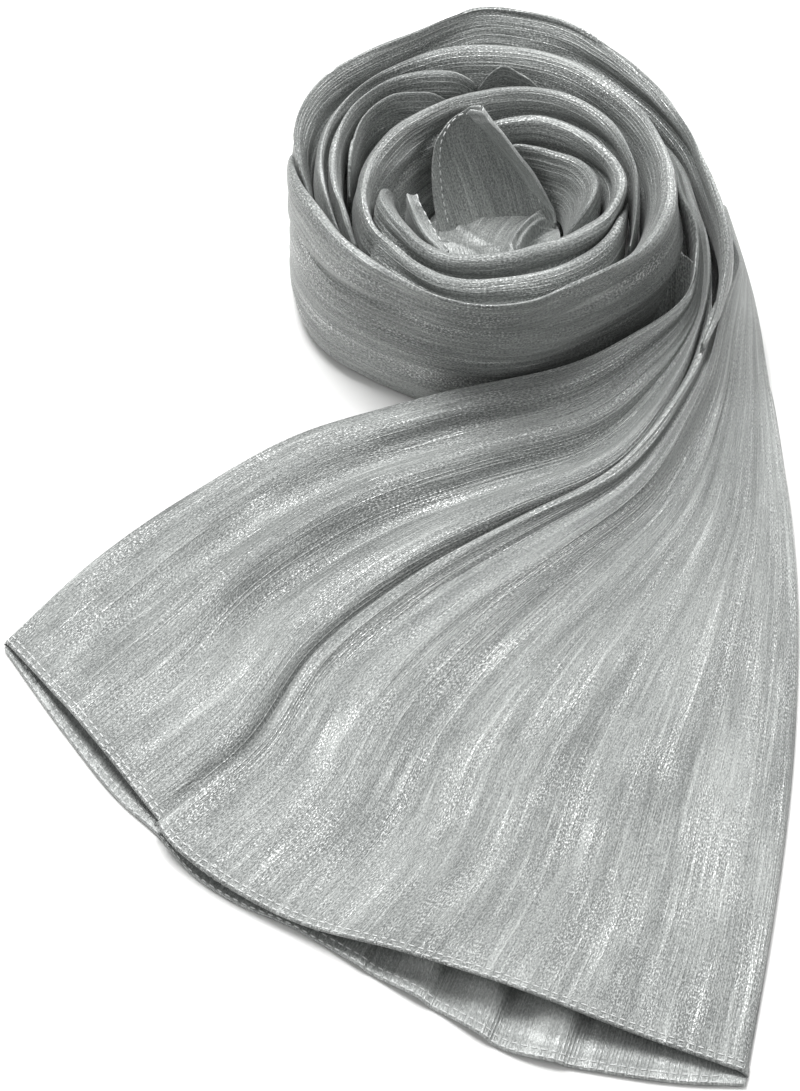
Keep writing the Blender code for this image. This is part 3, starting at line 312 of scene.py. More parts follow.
# %% Left panel
# Left panel of the fanned end, a row for each section from the coil to the hem: its upper
# edge, the pleat that covers its other edge, how far the cloth reaches down behind the
# upper edge, and how far it runs on under the pleat.
LeftRow = namedtuple("LeftRow", "edge_x edge_y pleat_x pleat_y behind under")
LEFT_PANEL = [
    LeftRow(98.6, 189.5, 99.3, 190.0, 0.2, 0.2),
    LeftRow(107.2, 175.8, 110.4, 177.0, 0.2, 0.2),
    LeftRow(113.8, 157.6, 118.8, 158.0, 0.2, 0.2),
    LeftRow(116.0, 141.0, 123.2, 140.4, 0.8, 0.2),
    LeftRow(121.0, 128.0, 127.4, 123.4, 2.0, 0.2),
    LeftRow(122.0, 114.7, 127.8, 105.0, 3.0, 0.6),
    LeftRow(117.0, 97.2, 124.0, 86.0, 5.0, 4.0),
    LeftRow(97.0, 83.0, 114.0, 59.4, 4.0, 6.0),
    LeftRow(66.0, 69.0, 90.0, 27.0, 1.2, 8.0),
    LeftRow(9.8, 61.5, 50.0, 3.0, 1.6, 8.0),
    LeftRow(-40.8, 49.5, 7.0, -26.0, 3.0, 8.0),
    LeftRow(-84.0, 21.0, -30.0, -62.0, 2.0, 8.0),
    LeftRow(-120.0, -12.0, -54.0, -106.0, 1.6, 6.0),
    LeftRow(-153.0, -53.0, -88.0, -140.0, 1.2, 3.0),
]
# A row for each fold of that panel: its place across, from the upper edge at 0 to the
# pleat at 1, and its height at sections 0, 2, 4, 6, 8, 10 and 13.
LEFT_STATIONS = (0, 2, 4, 6, 8, 10, 13)
LEFT_FOLDS = {
    "upper edge": (0.00, (52, 60, 57, 43, 31, 11, 4.8)),
    "brow": (0.14, (52, 60, 57, 41, 28, 12, 6.6)),
    "first valley": (0.30, (52, 58, 53, 36, 19, 6, 8.0)),
    "low ridge": (0.44, (51, 57, 50, 33, 17, 12, 9.5)),
    "deep valley": (0.58, (51, 56, 49, 31, 9, 5, 9.0)),
    "crest": (0.82, (52, 57, 52, 39, 16.5, 9.2, 6.8)),
    "beside pleat": (1.00, (51, 56, 48, 35, 9, 5.2, 5.0)),
}

print("left panel:", len(LEFT_PANEL), "sections and", len(LEFT_FOLDS), "folds")

# %% Right panel
# Right panel: the rolled edge that makes the pleat, the outer fold, how far the rolled
# edge drops over the left panel, and how far its sections bow out towards the hem.
RightRow = namedtuple("RightRow", "pleat_x pleat_y fold_x fold_y lip bow")
RIGHT_PANEL = [
    RightRow(133.4, 151.0, 137.6, 152.0, 0.8, 0),
    RightRow(136.8, 137.0, 142.2, 138.0, 0.8, 0),
    RightRow(139.6, 121.0, 146.8, 119.0, 0.8, 0),
    RightRow(134.0, 104.0, 149.4, 102.0, 1.2, 0),
    RightRow(128.2, 88.2, 150.8, 86.0, 2.4, 0),
    RightRow(117.4, 60.5, 152.8, 58.0, 3.6, 0),
    RightRow(90.0, 27.0, 155.0, 10.0, 3.8, 3),
    RightRow(50.0, 3.0, 153.6, -40.0, 4.0, 6),
    RightRow(7.0, -26.0, 148.0, -94.0, 4.0, 9),
    RightRow(-30.0, -62.0, 140.8, -141.0, 4.0, 11),
    RightRow(-53.0, -104.0, 130.8, -192.0, 3.0, 13),
    RightRow(-89.0, -142.0, 118.8, -244.0, 2.0, 15),
]
RIGHT_STATIONS = (0, 2, 4, 5, 6, 8, 10, 11)
RIGHT_FOLDS = {
    "rolled edge": (0.00, (39, 39, 42, 33, 20, 13, 10, 9.4)),
    "crease": (0.05, (39.5, 39.5, 40.8, 30, 16, 10.4, 8.6, 8.4)),
    "second ridge": (0.12, (40, 40, 41, 31, 17, 11.4, 8.6, 7.6)),
    "soft valley": (0.27, (41, 39, 36, 23, 9, 6.6, 6, 6.6)),
    "middle": (0.46, (42, 37, 32, 18, 7, 7, 8, 15)),
    "mouth": (0.62, (42, 34, 27, 15, 7, 6, 9, 16)),
    "shoulder": (0.86, (41, 29, 18, 11, 7, 6, 6, 8)),
    "outer fold": (1.00, (40, 25, 13, 9, 6, 5, 4.5, 4.5)),
}
OUTER_FOLD_REACH = 2.5           # the outer fold rounds down this far past its crest
PANEL_FOOT_Z = 2.3               # where a panel's sides meet the under layer

print("right panel:", len(RIGHT_PANEL), "sections and", len(RIGHT_FOLDS), "folds")

# %% Under layer and hidden layers
# Under layer of the fanned end, a row for each section: both sides in plan.
UNDER_LAYER = [
    (120.0, 108.0, 149.0, 108.0),
    (109.0, 88.0, 154.0, 86.0),
    (90.0, 74.0, 156.0, 58.0),
    (62.0, 66.0, 157.2, 9.0),
    (9.0, 62.0, 156.0, -41.0),
    (-40.0, 50.0, 150.4, -96.0),
    (-84.0, 22.0, 143.2, -143.0),
    (-120.0, -11.0, 133.0, -194.0),
    (-154.0, -54.5, 121.0, -248.6),
]
# How far the under layer's hem stands out past the line between its two corners.
UNDER_BOW = [(0.0, 0.0), (0.135, 18.5), (0.243, 31.0), (0.30, 34.5), (0.37, 41.5), (0.43, 42.0),
             (0.49, 39.0), (0.60, 38.5), (0.69, 37.4), (0.78, 36.4), (0.87, 24.5), (0.95, 11.0),
             (1.0, 0.0)]
# Knife pleats of the under layer in the mouth of the hem: how many, how high, the shares of
# the width they lie between, and the share of the length that they run back.
KNIFE_PLEATS, PLEAT_HEIGHT = 5, 6.5
GATHER_FROM, GATHER_TO = 0.44, 0.84
GATHER_LENGTH = 0.16

# Hidden layers under the gathered neck, a row for each section.
HIDDEN_LAYERS = [
    (124.0, 113.0, 142.0, 113.0, 17.0),
    (122.0, 102.0, 144.0, 101.0, 19.0),
    (118.0, 88.0, 146.0, 86.0, 15.0),
    (109.0, 62.0, 146.0, 58.0, 9.0),
    (90.0, 30.0, 146.0, 12.0, 3.0),
    (62.0, 0.0, 145.0, -30.0, 1.6),
]

print("under layer:", len(UNDER_LAYER), "sections")

# %% Corners that show in the coil
# Corner of the scarf's inner end, which stands up in the hollow: a row for each level.
CornerRow = namedtuple("CornerRow", "z left_x left_y right_x right_y belly")
END_CORNER = [
    CornerRow(78.0, 29.4, 173.2, 33.4, 173.6, 0.0),
    CornerRow(74.0, 22.8, 169.4, 37.0, 170.4, 1.0),
    CornerRow(68.0, 16.0, 165.4, 42.0, 168.4, 2.5),
    CornerRow(60.0, 13.8, 162.4, 47.4, 166.4, 4.0),
    CornerRow(50.0, 13.4, 158.4, 55.0, 163.4, 6.0),
    CornerRow(40.0, 14.4, 153.6, 61.0, 160.0, 8.0),
    CornerRow(32.0, 16.2, 149.4, 65.0, 157.0, 9.0),
    CornerRow(25.0, 19.4, 146.0, 66.0, 154.0, 9.0),
]

# Small loop of hem beside the corner: angle, radii of its two sides, height of its top.
LoopRow = namedtuple("LoopRow", "angle outer_r inner_r top_z")
CORNER_LOOP = [
    LoopRow(197, 38.4, 36.8, 60), LoopRow(203, 39.0, 34.6, 60), LoopRow(212, 39.4, 33.6, 57),
    LoopRow(222, 40.2, 34.2, 54), LoopRow(232, 41.4, 36.4, 52), LoopRow(240, 42.6, 40.4, 50),
]

# Folded corner that shows between the second and third turns at the back.
BackRow = namedtuple("BackRow", "angle foot_r top_r top_z")
BACK_CORNER = [
    BackRow(64, 53.9, 53.5, 58), BackRow(70, 53.5, 52.9, 65), BackRow(78, 53.3, 52.5, 70),
    BackRow(85, 53.2, 52.3, 73), BackRow(91, 53.2, 52.5, 68), BackRow(96, 53.2, 52.7, 60),
]
BACK_CORNER_FOOT_Z = 53.0
print("standing corner:", len(END_CORNER), "levels")

# %% [markdown]
# ## Curves and noise
# Three small tools make every sheet.  A smooth curve through the rows of a table gives the
# slow changes along the cloth.  A B-spline rounds a cross-section, because folded satin has
# no sharp corners.  Value noise, stretched far along the cloth and short across it, gives both
# the soft uneven folds and the fine crinkle, which in this fabric is heat-set lengthways.

# %% Curve and noise helpers
def spline(knots, values, at):
    """Smooth curve through one row of values for each knot, read at the given places."""
    knots = np.asarray(knots, float)
    values = np.asarray(values, float).reshape(len(knots), -1)
    at = np.clip(np.atleast_1d(np.asarray(at, float)), knots[0], knots[-1])
    slopes = np.gradient(values, knots, axis=0)
    k = np.clip(np.searchsorted(knots, at, side="right") - 1, 0, len(knots) - 2)
    span = (knots[k + 1] - knots[k])[:, None]
    t = (at - knots[k])[:, None] / span
    return ((2 * t**3 - 3 * t**2 + 1) * values[k] + (t**3 - 2 * t**2 + t) * span * slopes[k]
            + (3 * t**2 - 2 * t**3) * values[k + 1] + (t**3 - t**2) * span * slopes[k + 1])


def rounded(control, count):
    """Cubic B-spline along the last-but-one axis of control, clamped at both ends."""
    first, last = control[..., :1, :], control[..., -1:, :]
    points = np.concatenate([first, first, control, last, last], axis=-2)
    at = np.linspace(0.0, points.shape[-2] - 3 - 1e-6, count)
    k = at.astype(int)
    t = (at - k)[:, None]
    weights = ((1 - t)**3, 3 * t**3 - 6 * t**2 + 4, -3 * t**3 + 3 * t**2 + 3 * t + 1, t**3)
    return sum(w * points[..., k + i, :] for i, w in enumerate(weights)) / 6.0


def noise(along, across, seed):
    """Smooth noise from -1 to 1 at each pair of coordinates; one cell is one unit."""
    lattice = np.random.RandomState(seed).uniform(-1, 1, (128, 128))
    u, v = np.broadcast_arrays(along, across)
    i, j = np.floor(u).astype(int), np.floor(v).astype(int)
    s, t = u - i, v - j
    s, t = s * s * (3 - 2 * s), t * t * (3 - 2 * t)
    low = lattice[i % 128, j % 128] * (1 - s) + lattice[(i + 1) % 128, j % 128] * s
    high = lattice[i % 128, (j + 1) % 128] * (1 - s) + lattice[(i + 1) % 128, (j + 1) % 128] * s
    return low * (1 - t) + high * t


def polar(angle, radius):
    """Plan position of a point given by its angle and distance from the coil's axis."""
    a = np.radians(angle)
    return COIL_CENTRE[0] + radius * np.cos(a), COIL_CENTRE[1] + radius * np.sin(a)


def step_up(value, low, high):
    """0 below low, 1 above high, and a smooth rise between."""
    t = np.clip((value - low) / (high - low), 0, 1)
    return t * t * (3 - 2 * t)


print("noise runs", round(float(noise(0.5, 0.5, 1)), 3), "to", round(float(noise(7.2, 3.1, 1)), 3))

# %% [markdown]
# ## From a grid of points to a piece of cloth
# A sheet is a grid of points, with two numbers carried along at every point: how far it lies
# along the cloth and how far across, both in millimetres.  They place the folds and crinkle,
# and they become the UV map, so the shimmer in the material runs along the cloth as it turns.

# %% Sheet helpers
def grid_normals(grid):
    """Unit normals of a grid of points, rows by columns."""
    normal = np.cross(np.gradient(grid, axis=0), np.gradient(grid, axis=1))
    return normal / np.maximum(np.linalg.norm(normal, axis=2, keepdims=True), 1e-9)


def soft_folds(along, across, seed, size=1.0):
    """Uneven folds that run along the cloth: broad ones, and narrower ones between them."""
    sway = 5.0 * noise(along / 70, across / 40, seed)
    broad = noise(along / 110, (across + sway) / 15, seed + 1)
    narrow = noise(along / 60, (across + sway) / 6.5, seed + 2)
    return size * (1.15 * broad + 0.5 * narrow)


def crinkle(along, across, seed, size=1.0):
    """The heat-set crinkle: fine ridges that run along the cloth, break off and begin again."""
    sway = 1.6 * noise(along / 26, across / 9, seed)
    ridges = 1 - 2 * np.abs(noise(along / 34, (across + sway) / 3.4, seed + 1))
    fine = noise(along / 16, (across + sway) / 1.7, seed + 2)
    return size * (0.20 * ridges + 0.10 * fine)


def sheet_piece(name, grid, along, across, material, outward, wall=SATIN):
    """Piece of cloth from its outer points; the wall is grown to the other side."""
    rows, columns = grid.shape[:2]
    i, j = np.meshgrid(np.arange(rows - 1), np.arange(columns - 1), indexing="ij")
    first = (i * columns + j).ravel()
    quads = np.stack([first, first + columns, first + columns + 1, first + 1], axis=1)
    if not outward(grid, grid_normals(grid)):
        quads = quads[:, ::-1]
    mesh = bpy.data.meshes.new(name)
    mesh.from_pydata((grid.reshape(-1, 3) * MM).tolist(), [], quads.tolist())
    uv = np.stack([across.ravel(), along.ravel()], axis=1) / 100.0
    layer = mesh.uv_layers.new(name="cloth")
    layer.data.foreach_set("uv", uv[quads.ravel()].ravel())
    mesh.materials.append(material)
    mesh.shade_smooth()
    piece = bpy.data.objects.new(name, mesh)
    bpy.context.scene.collection.objects.link(piece)
    solid = piece.modifiers.new("wall of the cloth", "SOLIDIFY")
    solid.thickness = wall * MM
    solid.offset = -1
    print(f"{name}: {rows} x {columns} points")
    return piece


def declare(piece, nodes):
    """Hangs a sheet under the root and hides the solids that it stands for."""
    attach(piece, "root")
    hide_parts(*nodes)


# %% [markdown]
# ## The fabric
# Satin crinkle is a fine polyester satin with metallised threads laid in lengthways, crushed
# and heat-set into fine lengthwise creases.  The eye gets three things from it: a soft grey
# body colour, streaks along the cloth where each crease turns to or from the light, and short
# bright flecks where a metallised thread catches it.  All three are noise stretched along the
# cloth through its UV map, so they follow every turn and fan.  The real threads are about
# 0.15 mm apart, too fine to show here, so flecks and streaks are drawn about 0.6 mm wide.

# %% Node and colour helpers
def hex_colour(text):
    """Linear colour of an sRGB hex value."""
    parts = [int(text[k:k + 2], 16) / 255 for k in (1, 3, 5)]
    return tuple(c / 12.92 if c <= 0.04045 else ((c + 0.055) / 1.055)**2.4 for c in parts) + (1.0,)


def add(tree, kind, links=(), **settings):
    """Adds a node, sets its properties and input values, and links (output, input) pairs."""
    node = tree.nodes.new(kind)
    for key, value in settings.items():
        if hasattr(node, key):
            setattr(node, key, value)
        else:
            node.inputs[key.replace("_", " ")].default_value = value
    for output, name in links:
        tree.links.new(output, node.inputs[name])
    return node


def stretched_noise(tree, uv, across_mm, along_mm, detail=2.0):
    """Noise whose grains have this width across the cloth and this length along it."""
    place = add(tree, "ShaderNodeMapping", [(uv, "Vector")],
                Scale=(100 / across_mm, 100 / along_mm, 1.0))
    grain = add(tree, "ShaderNodeTexNoise", [(place.outputs["Vector"], "Vector")],
                Scale=1.0, Detail=detail, Roughness=0.6)
    return grain.outputs["Fac"]


def between(tree, value, low, high, to_low=0.0, to_high=1.0):
    """Maps a value from low..high to a new range, clamped."""
    node = add(tree, "ShaderNodeMapRange", [(value, "Value")])
    for name, number in (("From Min", low), ("From Max", high), ("To Min", to_low),
                         ("To Max", to_high)):
        node.inputs[name].default_value = number
    return node.outputs["Result"]


def weighed(tree, parts):
    """Sum of several values, each times its weight."""
    total = None
    for value, weight in parts:
        node = add(tree, "ShaderNodeMath", [(value, 0)], operation="MULTIPLY_ADD")
        node.inputs[1].default_value = weight
        node.inputs[2].default_value = 0.0
        if total is not None:
            tree.links.new(total, node.inputs[2])
        total = node.outputs[0]
    return total


print("mid grey #8C8F8D is", [round(c, 3) for c in hex_colour("#8C8F8D")[:3]])


# %% Crinkled satin with metallised thread
# Width across the cloth and length along it of each kind of grain, in millimetres.
STREAK, CREASE, RIDGE = (0.9, 9.0), (3.4, 60.0), (2.4, 150.0)
FLECK, CLOUD, PATCH = (0.55, 1.1), (24.0, 80.0), (12.0, 45.0)


def crinkled_satin(name, dark, light, fleck="#F4F6F5", glitter=1.0):
    """Polyester satin crinkle: streaked grey, flecked where the metallised threads catch light."""
    material = bpy.data.materials.new(name)
    material.use_nodes = True
    tree = material.node_tree
    shader = tree.nodes["Principled BSDF"]
    uv = add(tree, "ShaderNodeUVMap", uv_map="cloth").outputs["UV"]
    streak = stretched_noise(tree, uv, *STREAK, detail=3.0)
    crease = stretched_noise(tree, uv, *CREASE)
    cloud = stretched_noise(tree, uv, *CLOUD)
    grain = stretched_noise(tree, uv, *FLECK, detail=1.0)
    ridge = stretched_noise(tree, uv, *RIDGE, detail=0.0)
    ridge = add(tree, "ShaderNodeMath", [(ridge, 0)], operation="SUBTRACT")
    ridge.inputs[1].default_value = 0.5
    ridge = add(tree, "ShaderNodeMath", [(ridge.outputs[0], 0)], operation="ABSOLUTE")
    ridge = between(tree, ridge.outputs[0], 0.07, 0.0)
    # The streak, crease and ridge terms are painted light and shade of the crinkle turning to or
    # from the light; cloud and grain vary the tone at random.
    tone = weighed(tree, ((streak, 0.5), (crease, 0.35), (cloud, 0.6), (grain, 1.0), (ridge, 0.20)))
    tone = between(tree, tone, 1.00, 1.60)
    body = add(tree, "ShaderNodeMix", [(tone, "Factor")], data_type="RGBA")
    body.inputs["A"].default_value = hex_colour(dark)
    body.inputs["B"].default_value = hex_colour(light)
    # Flecks: the metallised threads get metal and a smoother finish, with a near-white painted
    # highlight in patches where they catch the light.
    patch = stretched_noise(tree, uv, *PATCH)
    lit = add(tree, "ShaderNodeMath", [(between(tree, patch, 0.46, 0.62, 0.10, 1.0), 0),
                                       (between(tree, ridge, 0.0, 0.8, 0.35, 1.0), 1)],
              operation="MULTIPLY").outputs[0]
    spark = add(tree, "ShaderNodeMath", [(between(tree, grain, 0.52, 0.62, 0.0, glitter), 0),
                                         (lit, 1)], operation="MULTIPLY").outputs[0]
    colour = add(tree, "ShaderNodeMix", [(spark, "Factor"), (body.outputs["Result"], "A")],
                 data_type="RGBA")
    colour.inputs["B"].default_value = hex_colour(fleck)
    tree.links.new(colour.outputs["Result"], shader.inputs["Base Color"])
    tree.links.new(between(tree, spark, 0.0, 1.0, 0.22, 0.70), shader.inputs["Metallic"])
    tree.links.new(between(tree, spark, 0.0, 1.0, 0.46, 0.34), shader.inputs["Roughness"])
    relief = weighed(tree, ((streak, 1.0), (grain, 1.2), (ridge, 0.7)))
    bump = add(tree, "ShaderNodeBump", [(relief, "Height")], Strength=0.55, Distance=0.0005)
    tree.links.new(bump.outputs["Normal"], shader.inputs["Normal"])
    shader.inputs["Sheen Weight"].default_value = 0.12
    shader.inputs["Sheen Roughness"].default_value = 0.4
    return material


# The face of the cloth, with all its flecks; a copy for the inner end in the coil's hollow, with
# fewer flecks and a lighter grey that is painted light lifting the shade in the hollow; and the
# reverse, where few of the metallised threads come to the surface, paler partly as the reverse
# face and partly as painted light that lifts the shade under the upper panel and on the strip.
satin = crinkled_satin("polyester_satin_crinkle_silver", "#666968", "#B4B7B5")
satin_painted_light_inner = crinkled_satin("polyester_satin_painted_light_inner_end", "#747776", "#BEC1BF",
                             glitter=0.3)
reverse_satin_painted_light = crinkled_satin("polyester_satin_reverse_painted_light", "#8F9291", "#C6C9C7",
                               glitter=0.4)
print("materials:", satin.name, satin_painted_light_inner.name, "and", reverse_satin_painted_light.name)


# %% Sewing thread
def sewing_thread(name, colour):
    """Spun polyester thread: matt, a little lighter than the satin it sits on."""
    material = bpy.data.materials.new(name)
    material.use_nodes = True
    tree = material.node_tree
    shader = tree.nodes["Principled BSDF"]
    place = add(tree, "ShaderNodeTexCoord").outputs["Object"]
    ply = add(tree, "ShaderNodeTexNoise", [(place, "Vector")], Scale=2500.0, Detail=2.0)
    colours = add(tree, "ShaderNodeMix", [(ply.outputs["Fac"], "Factor")], data_type="RGBA")
    colours.inputs["A"].default_value = hex_colour(colour)
    colours.inputs["B"].default_value = hex_colour("#E4E6E5")
    tree.links.new(colours.outputs["Result"], shader.inputs["Base Color"])
    shader.inputs["Roughness"].default_value = 0.6
    return material


thread = sewing_thread("spun_polyester_thread", "#DCDEDD")
print("material:", thread.name)

# %% [markdown]
# ## The coil
# Each turn of the coil is the folded scarf standing on its edge: it rises outside, rounds over
# at the rim and goes down inside, into the crease beside the next turn.  A section table gives
# that outline every ten degrees or so, and the sheet runs through it at every two.  No turn may
# reach through the one around it, so its outside is held to the inner face of its neighbours.

# %% Where each turn's sheet runs
TURN_STEP = 2.0


def turn_columns(rows, angle):
    """The columns of a turn's table, read smoothly at the given angles."""
    return spline([row.angle for row in rows], [row[1:] for row in rows], angle).T


def inner_limit(bound, angle, rim_r):
    """Radius that cloth with this rim may reach inside a turn, where that turn is round it."""
    limit = np.full(len(angle), np.inf)
    for whole_turn in (-360, 0, 360):
        at = angle + whole_turn
        near = (at >= bound[0][0] - 6) & (at <= bound[0][-1] + 6)
        reach = np.interp(at, *bound)
        limit = np.where(near & (reach > rim_r), np.minimum(limit, reach), limit)
    return limit


def laid_in(rows, inside):
    """Angles and section sizes of a turn, held inside the turns around it."""
    angle = np.linspace(rows[0].angle, rows[-1].angle,
                        int((rows[-1].angle - rows[0].angle) / TURN_STEP) + 1)
    out_r, out_z, rim_r, rim_z, in_r, in_z = turn_columns(rows, angle)
    for bound in inside:
        out_r = np.minimum(out_r, inner_limit(bound, angle, rim_r) - SEAM_GAP)
    in_r = np.minimum(in_r, out_r - 1.5)
    rim_r = np.maximum(rim_r, in_r + 0.6)
    return np.stack([angle, out_r, out_z, rim_r, rim_z, in_r, in_z])


laid, bounds = {}, {}
for turn in TURNS:
    laid[turn.name] = laid_in(turn.rows, [bounds[name] for name in turn.inside])
    bounds[turn.name] = laid[turn.name][0], laid[turn.name][5]
print("turns laid in:", ", ".join(laid))


# %% Sections of a turn, spread evenly
OUTER_COLUMNS, INNER_COLUMNS = 84, 56


def turn_sections(sizes, low, tuck, hidden):
    """Points of a turn's sheet, and how far each lies along the cloth and from the rim."""
    angle, out_r, out_z, rim_r, rim_z, in_r, in_z = sizes
    half = 0.42 * np.minimum(out_r - rim_r + RIM_HALF, rim_r - in_r)
    half = np.clip(half, 0.3, RIM_HALF)
    rim_out = np.minimum(rim_r + half, np.maximum(out_r, rim_r))
    pinch = np.minimum(tuck, 0.4 * (out_r - in_r))
    control = [
        (out_r - pinch, low),
        (out_r, low + np.minimum(FOOT_ROUND, 0.4 * (out_z - low))),
        (out_r, np.maximum(out_z, low + 1)),
        (out_r + 0.35 * (rim_out - out_r), out_z + 0.62 * (rim_z - out_z)),
        (rim_out, rim_z),
        (rim_r - half, rim_z),
        (in_r + 0.42 * (rim_r - half - in_r), in_z + 0.50 * (rim_z - in_z)),
        (in_r, np.maximum(in_z, low + 1)),
        (in_r, np.maximum(in_z - hidden, 0.5)),
    ]
    fine = rounded(np.stack([np.stack(point, axis=1) for point in control], axis=1), 220)
    steps = np.linalg.norm(np.diff(fine, axis=1), axis=2)
    run = np.concatenate([np.zeros((len(angle), 1)), np.cumsum(steps, axis=1)], axis=1)
    section = np.empty((len(angle), OUTER_COLUMNS + INNER_COLUMNS, 2))
    across = np.empty(section.shape[:2])
    for i, (points, length) in enumerate(zip(fine, run)):
        top = length[points[:, 1].argmax()]
        places = np.concatenate([np.linspace(0, top, OUTER_COLUMNS),
                                 np.linspace(top, length[-1], INNER_COLUMNS + 1)[1:]])
        section[i, :, 0] = np.interp(places, length, points[:, 0])
        section[i, :, 1] = np.interp(places, length, points[:, 1])
        across[i] = places - top
    x, y = polar(angle[:, None], section[..., 0])
    grid = np.stack([x, y, section[..., 1]], axis=2)
    rim = grid[:, OUTER_COLUMNS - 1, :2]
    run = np.concatenate([[0], np.cumsum(np.linalg.norm(np.diff(rim, axis=0), axis=1))])
    return grid, run[:, None] + np.zeros_like(across), across


# %% [markdown]
# Folds and crinkle are pushed out along the sheet's own normals.  They fade out at the foot, so
# nothing sinks into the table, in the creases, where two turns press together, and towards the
# ends of a turn, where it lies under another.

# %% Raise folds on a turn
# One row for each named crease or ridge: the turn, the angles it runs between, its distance
# from the rim at both ends (outside is negative), its height (a crease is negative) and width.
Crease = namedtuple("Crease", "turn start end from_rim to_rim height width")
CREASES = [
    Crease("front_wall", 175, 262, -30, -14, -2.2, 3.4),
    Crease("front_wall", 205, 330, -9, -20, 1.6, 4.5),
    Crease("front_wall", 232, 345, -24, -9, -2.4, 3.2),
    Crease("front_wall", 260, 352, -34, -26, 1.8, 4.0),
    Crease("front_wall", 190, 300, 12, 16, -1.8, 2.6),
    Crease("outer_turn", 20, 120, -14, -22, -1.8, 3.6),
    Crease("outer_turn", 60, 170, -30, -18, 1.6, 4.2),
    Crease("outer_turn", 95, 190, 10, 20, -1.8, 3.0),
    Crease("outer_turn", -20, 80, 9, 14, -2.0, 2.8),
    Crease("outer_turn", 110, 190, -44, -34, -2.0, 3.8),
    Crease("third_turn", 0, 110, 10, 18, -2.0, 2.6),
    Crease("third_turn", 60, 190, 22, 12, 1.6, 3.4),
    Crease("third_turn", 100, 195, 8, 26, -2.0, 2.8),
    Crease("fourth_turn", 200, 330, -8, -12, -2.2, 2.4),
    Crease("fourth_turn", 215, 345, 9, 13, -1.8, 2.4),
    Crease("fourth_turn", 330, 440, 8, 15, -2.0, 2.6),
    Crease("front_fold", 226, 290, -7, -11, -1.6, 2.2),
]


def creases(name, angle, along, across, seed):
    """Height of the named creases and ridges of a turn at each of its points."""
    height = np.zeros_like(across)
    for c in CREASES:
        if c.turn == name:
            share = (angle - c.start) / (c.end - c.start)
            place = (c.from_rim + (c.to_rim - c.from_rim) * share)[:, None]
            place = place + 2.0 * noise(along / 40, 0.5, seed)
            strength = step_up(share, 0, 0.25) * (1 - step_up(share, 0.75, 1))
            height += c.height * strength[:, None] * np.exp(-((across - place) / c.width)**2)
    return height


def pressed(sizes, grid, free_side):
    """0 where a point is pressed against the next turn or the table, 1 where it is free."""
    _, _, out_z, _, _, _, in_z = sizes
    outside = step_up(grid[..., 2], 1.0, 9.0)
    if not free_side:
        outside = step_up(grid[..., 2], out_z[:, None] - 2, out_z[:, None] + 9)
    inside = step_up(grid[..., 2], in_z[:, None] - 2, in_z[:, None] + 9)
    return np.where(np.arange(grid.shape[1]) < OUTER_COLUMNS, outside, inside)


def facing_out(grid, normal):
    """True where the outer face of a turn looks away from the coil's axis."""
    return (normal[:, 20, :2] * (grid[:, 20, :2] - COIL_CENTRE)).sum() > 0


print(len(CREASES), "named creases and ridges")

# %% Lay the sheets of the coil
# One row for each sheet: its name, the turns it runs through, what carries it, the seed of its
# folds and how strong they are.
Stretch = namedtuple("Stretch", "name turns rests_on seed folds")
STRETCHES = [
    Stretch("satin_outer_turn", ["outer_turn"], "satin_front_wall", 11, 1.0),
    Stretch("satin_front_wall", ["front_wall", "second_turn"], "satin_third_turn", 23, 1.0),
    Stretch("satin_back_fold", ["back_fold"], "satin_third_turn", 37, 0.5),
    Stretch("satin_back_fold_inner", ["back_fold_inner"], "satin_third_turn", 41, 0.4),
    Stretch("satin_third_turn", ["third_turn", "front_fold"], "satin_hollow_floor", 53, 0.8),
    Stretch("satin_fourth_turn", ["fourth_turn"], "satin_hollow_floor", 73, 0.8),
    Stretch("satin_inner_fold", ["inner_fold"], "satin_hollow_floor", 83, 0.5),
]
FREE_SIDES = ("outer_turn", "front_wall")
OFF_TABLE = 0.4                  # height that the free sides stop at, over the table
BURIED = 12.0                    # how far a sheet's outside goes on below the crease it rises from
HIDDEN = 7.0                     # how far its inside goes on below the crease it meets


def foot_line(name, sizes):
    """Height of a sheet's outer edge: the table on the free sides, and buried elsewhere."""
    angle, out_z = sizes[0], sizes[2]
    buried = np.maximum(out_z - BURIED, OFF_TABLE)
    if name == "outer_turn":
        return np.interp(angle, *zip(*OUTER_TURN_BASE)) + OFF_TABLE
    if name == "front_wall":
        return OFF_TABLE + (buried - OFF_TABLE) * step_up(angle, 338, 350)
    return buried


for row in STRETCHES:
    parts, start = [], 0.0
    for name in row.turns:
        sizes = laid[name][:, 1:] if parts else laid[name]
        low = foot_line(name, sizes)
        tuck = np.where(low < 1, FOOT_TUCK, 0)
        grid, along, across = turn_sections(sizes, low, tuck, HIDDEN)
        along = along + start
        start = along[-1, 0] + 1.0
        rough = soft_folds(along, across, row.seed, row.folds)
        rough += crinkle(along, across, row.seed + 10)
        rough += creases(name, sizes[0], along, across, row.seed + 20)
        parts.append((grid, along, across, rough * pressed(sizes, grid, name in FREE_SIDES)))
    grid, along, across, rough = (np.concatenate(part) for part in zip(*parts))
    ends = np.minimum(along, along[-1, 0] - along)
    normal = grid_normals(grid)
    normal = normal if facing_out(grid, normal) else -normal
    grid = grid + normal * (rough * step_up(ends, 0, 14))[..., None]
    piece = sheet_piece(row.name, grid, along, across, satin, facing_out)
    declare(piece, row.turns)

# %% [markdown]
# ## The fanned end
# The free end is the doubled cloth, gathered at the coil and fanned out to its full width.  Its
# upper layer falls into two panels with a pleat between them, and both are worked out from a
# table of sections and a table of folds.  Crinkle lines run lengthways in the cloth, so they
# spread from the gathered neck to the hem: each point's place across is its share of the width.

# %% Panel helpers
PANEL_ROWS = 112                 # sections from the coil to the hem
EDGE_REACH = (0.0, 0.5, 1.2, 2.0, 2.9, 3.7, 4.2)     # rows across the hem
TURNED_UNDER = ((4.6, 0.5), (4.55, 1.2), (4.2, 1.75), (3.0, 1.9), (1.6, 1.9), (0.5, 1.9))


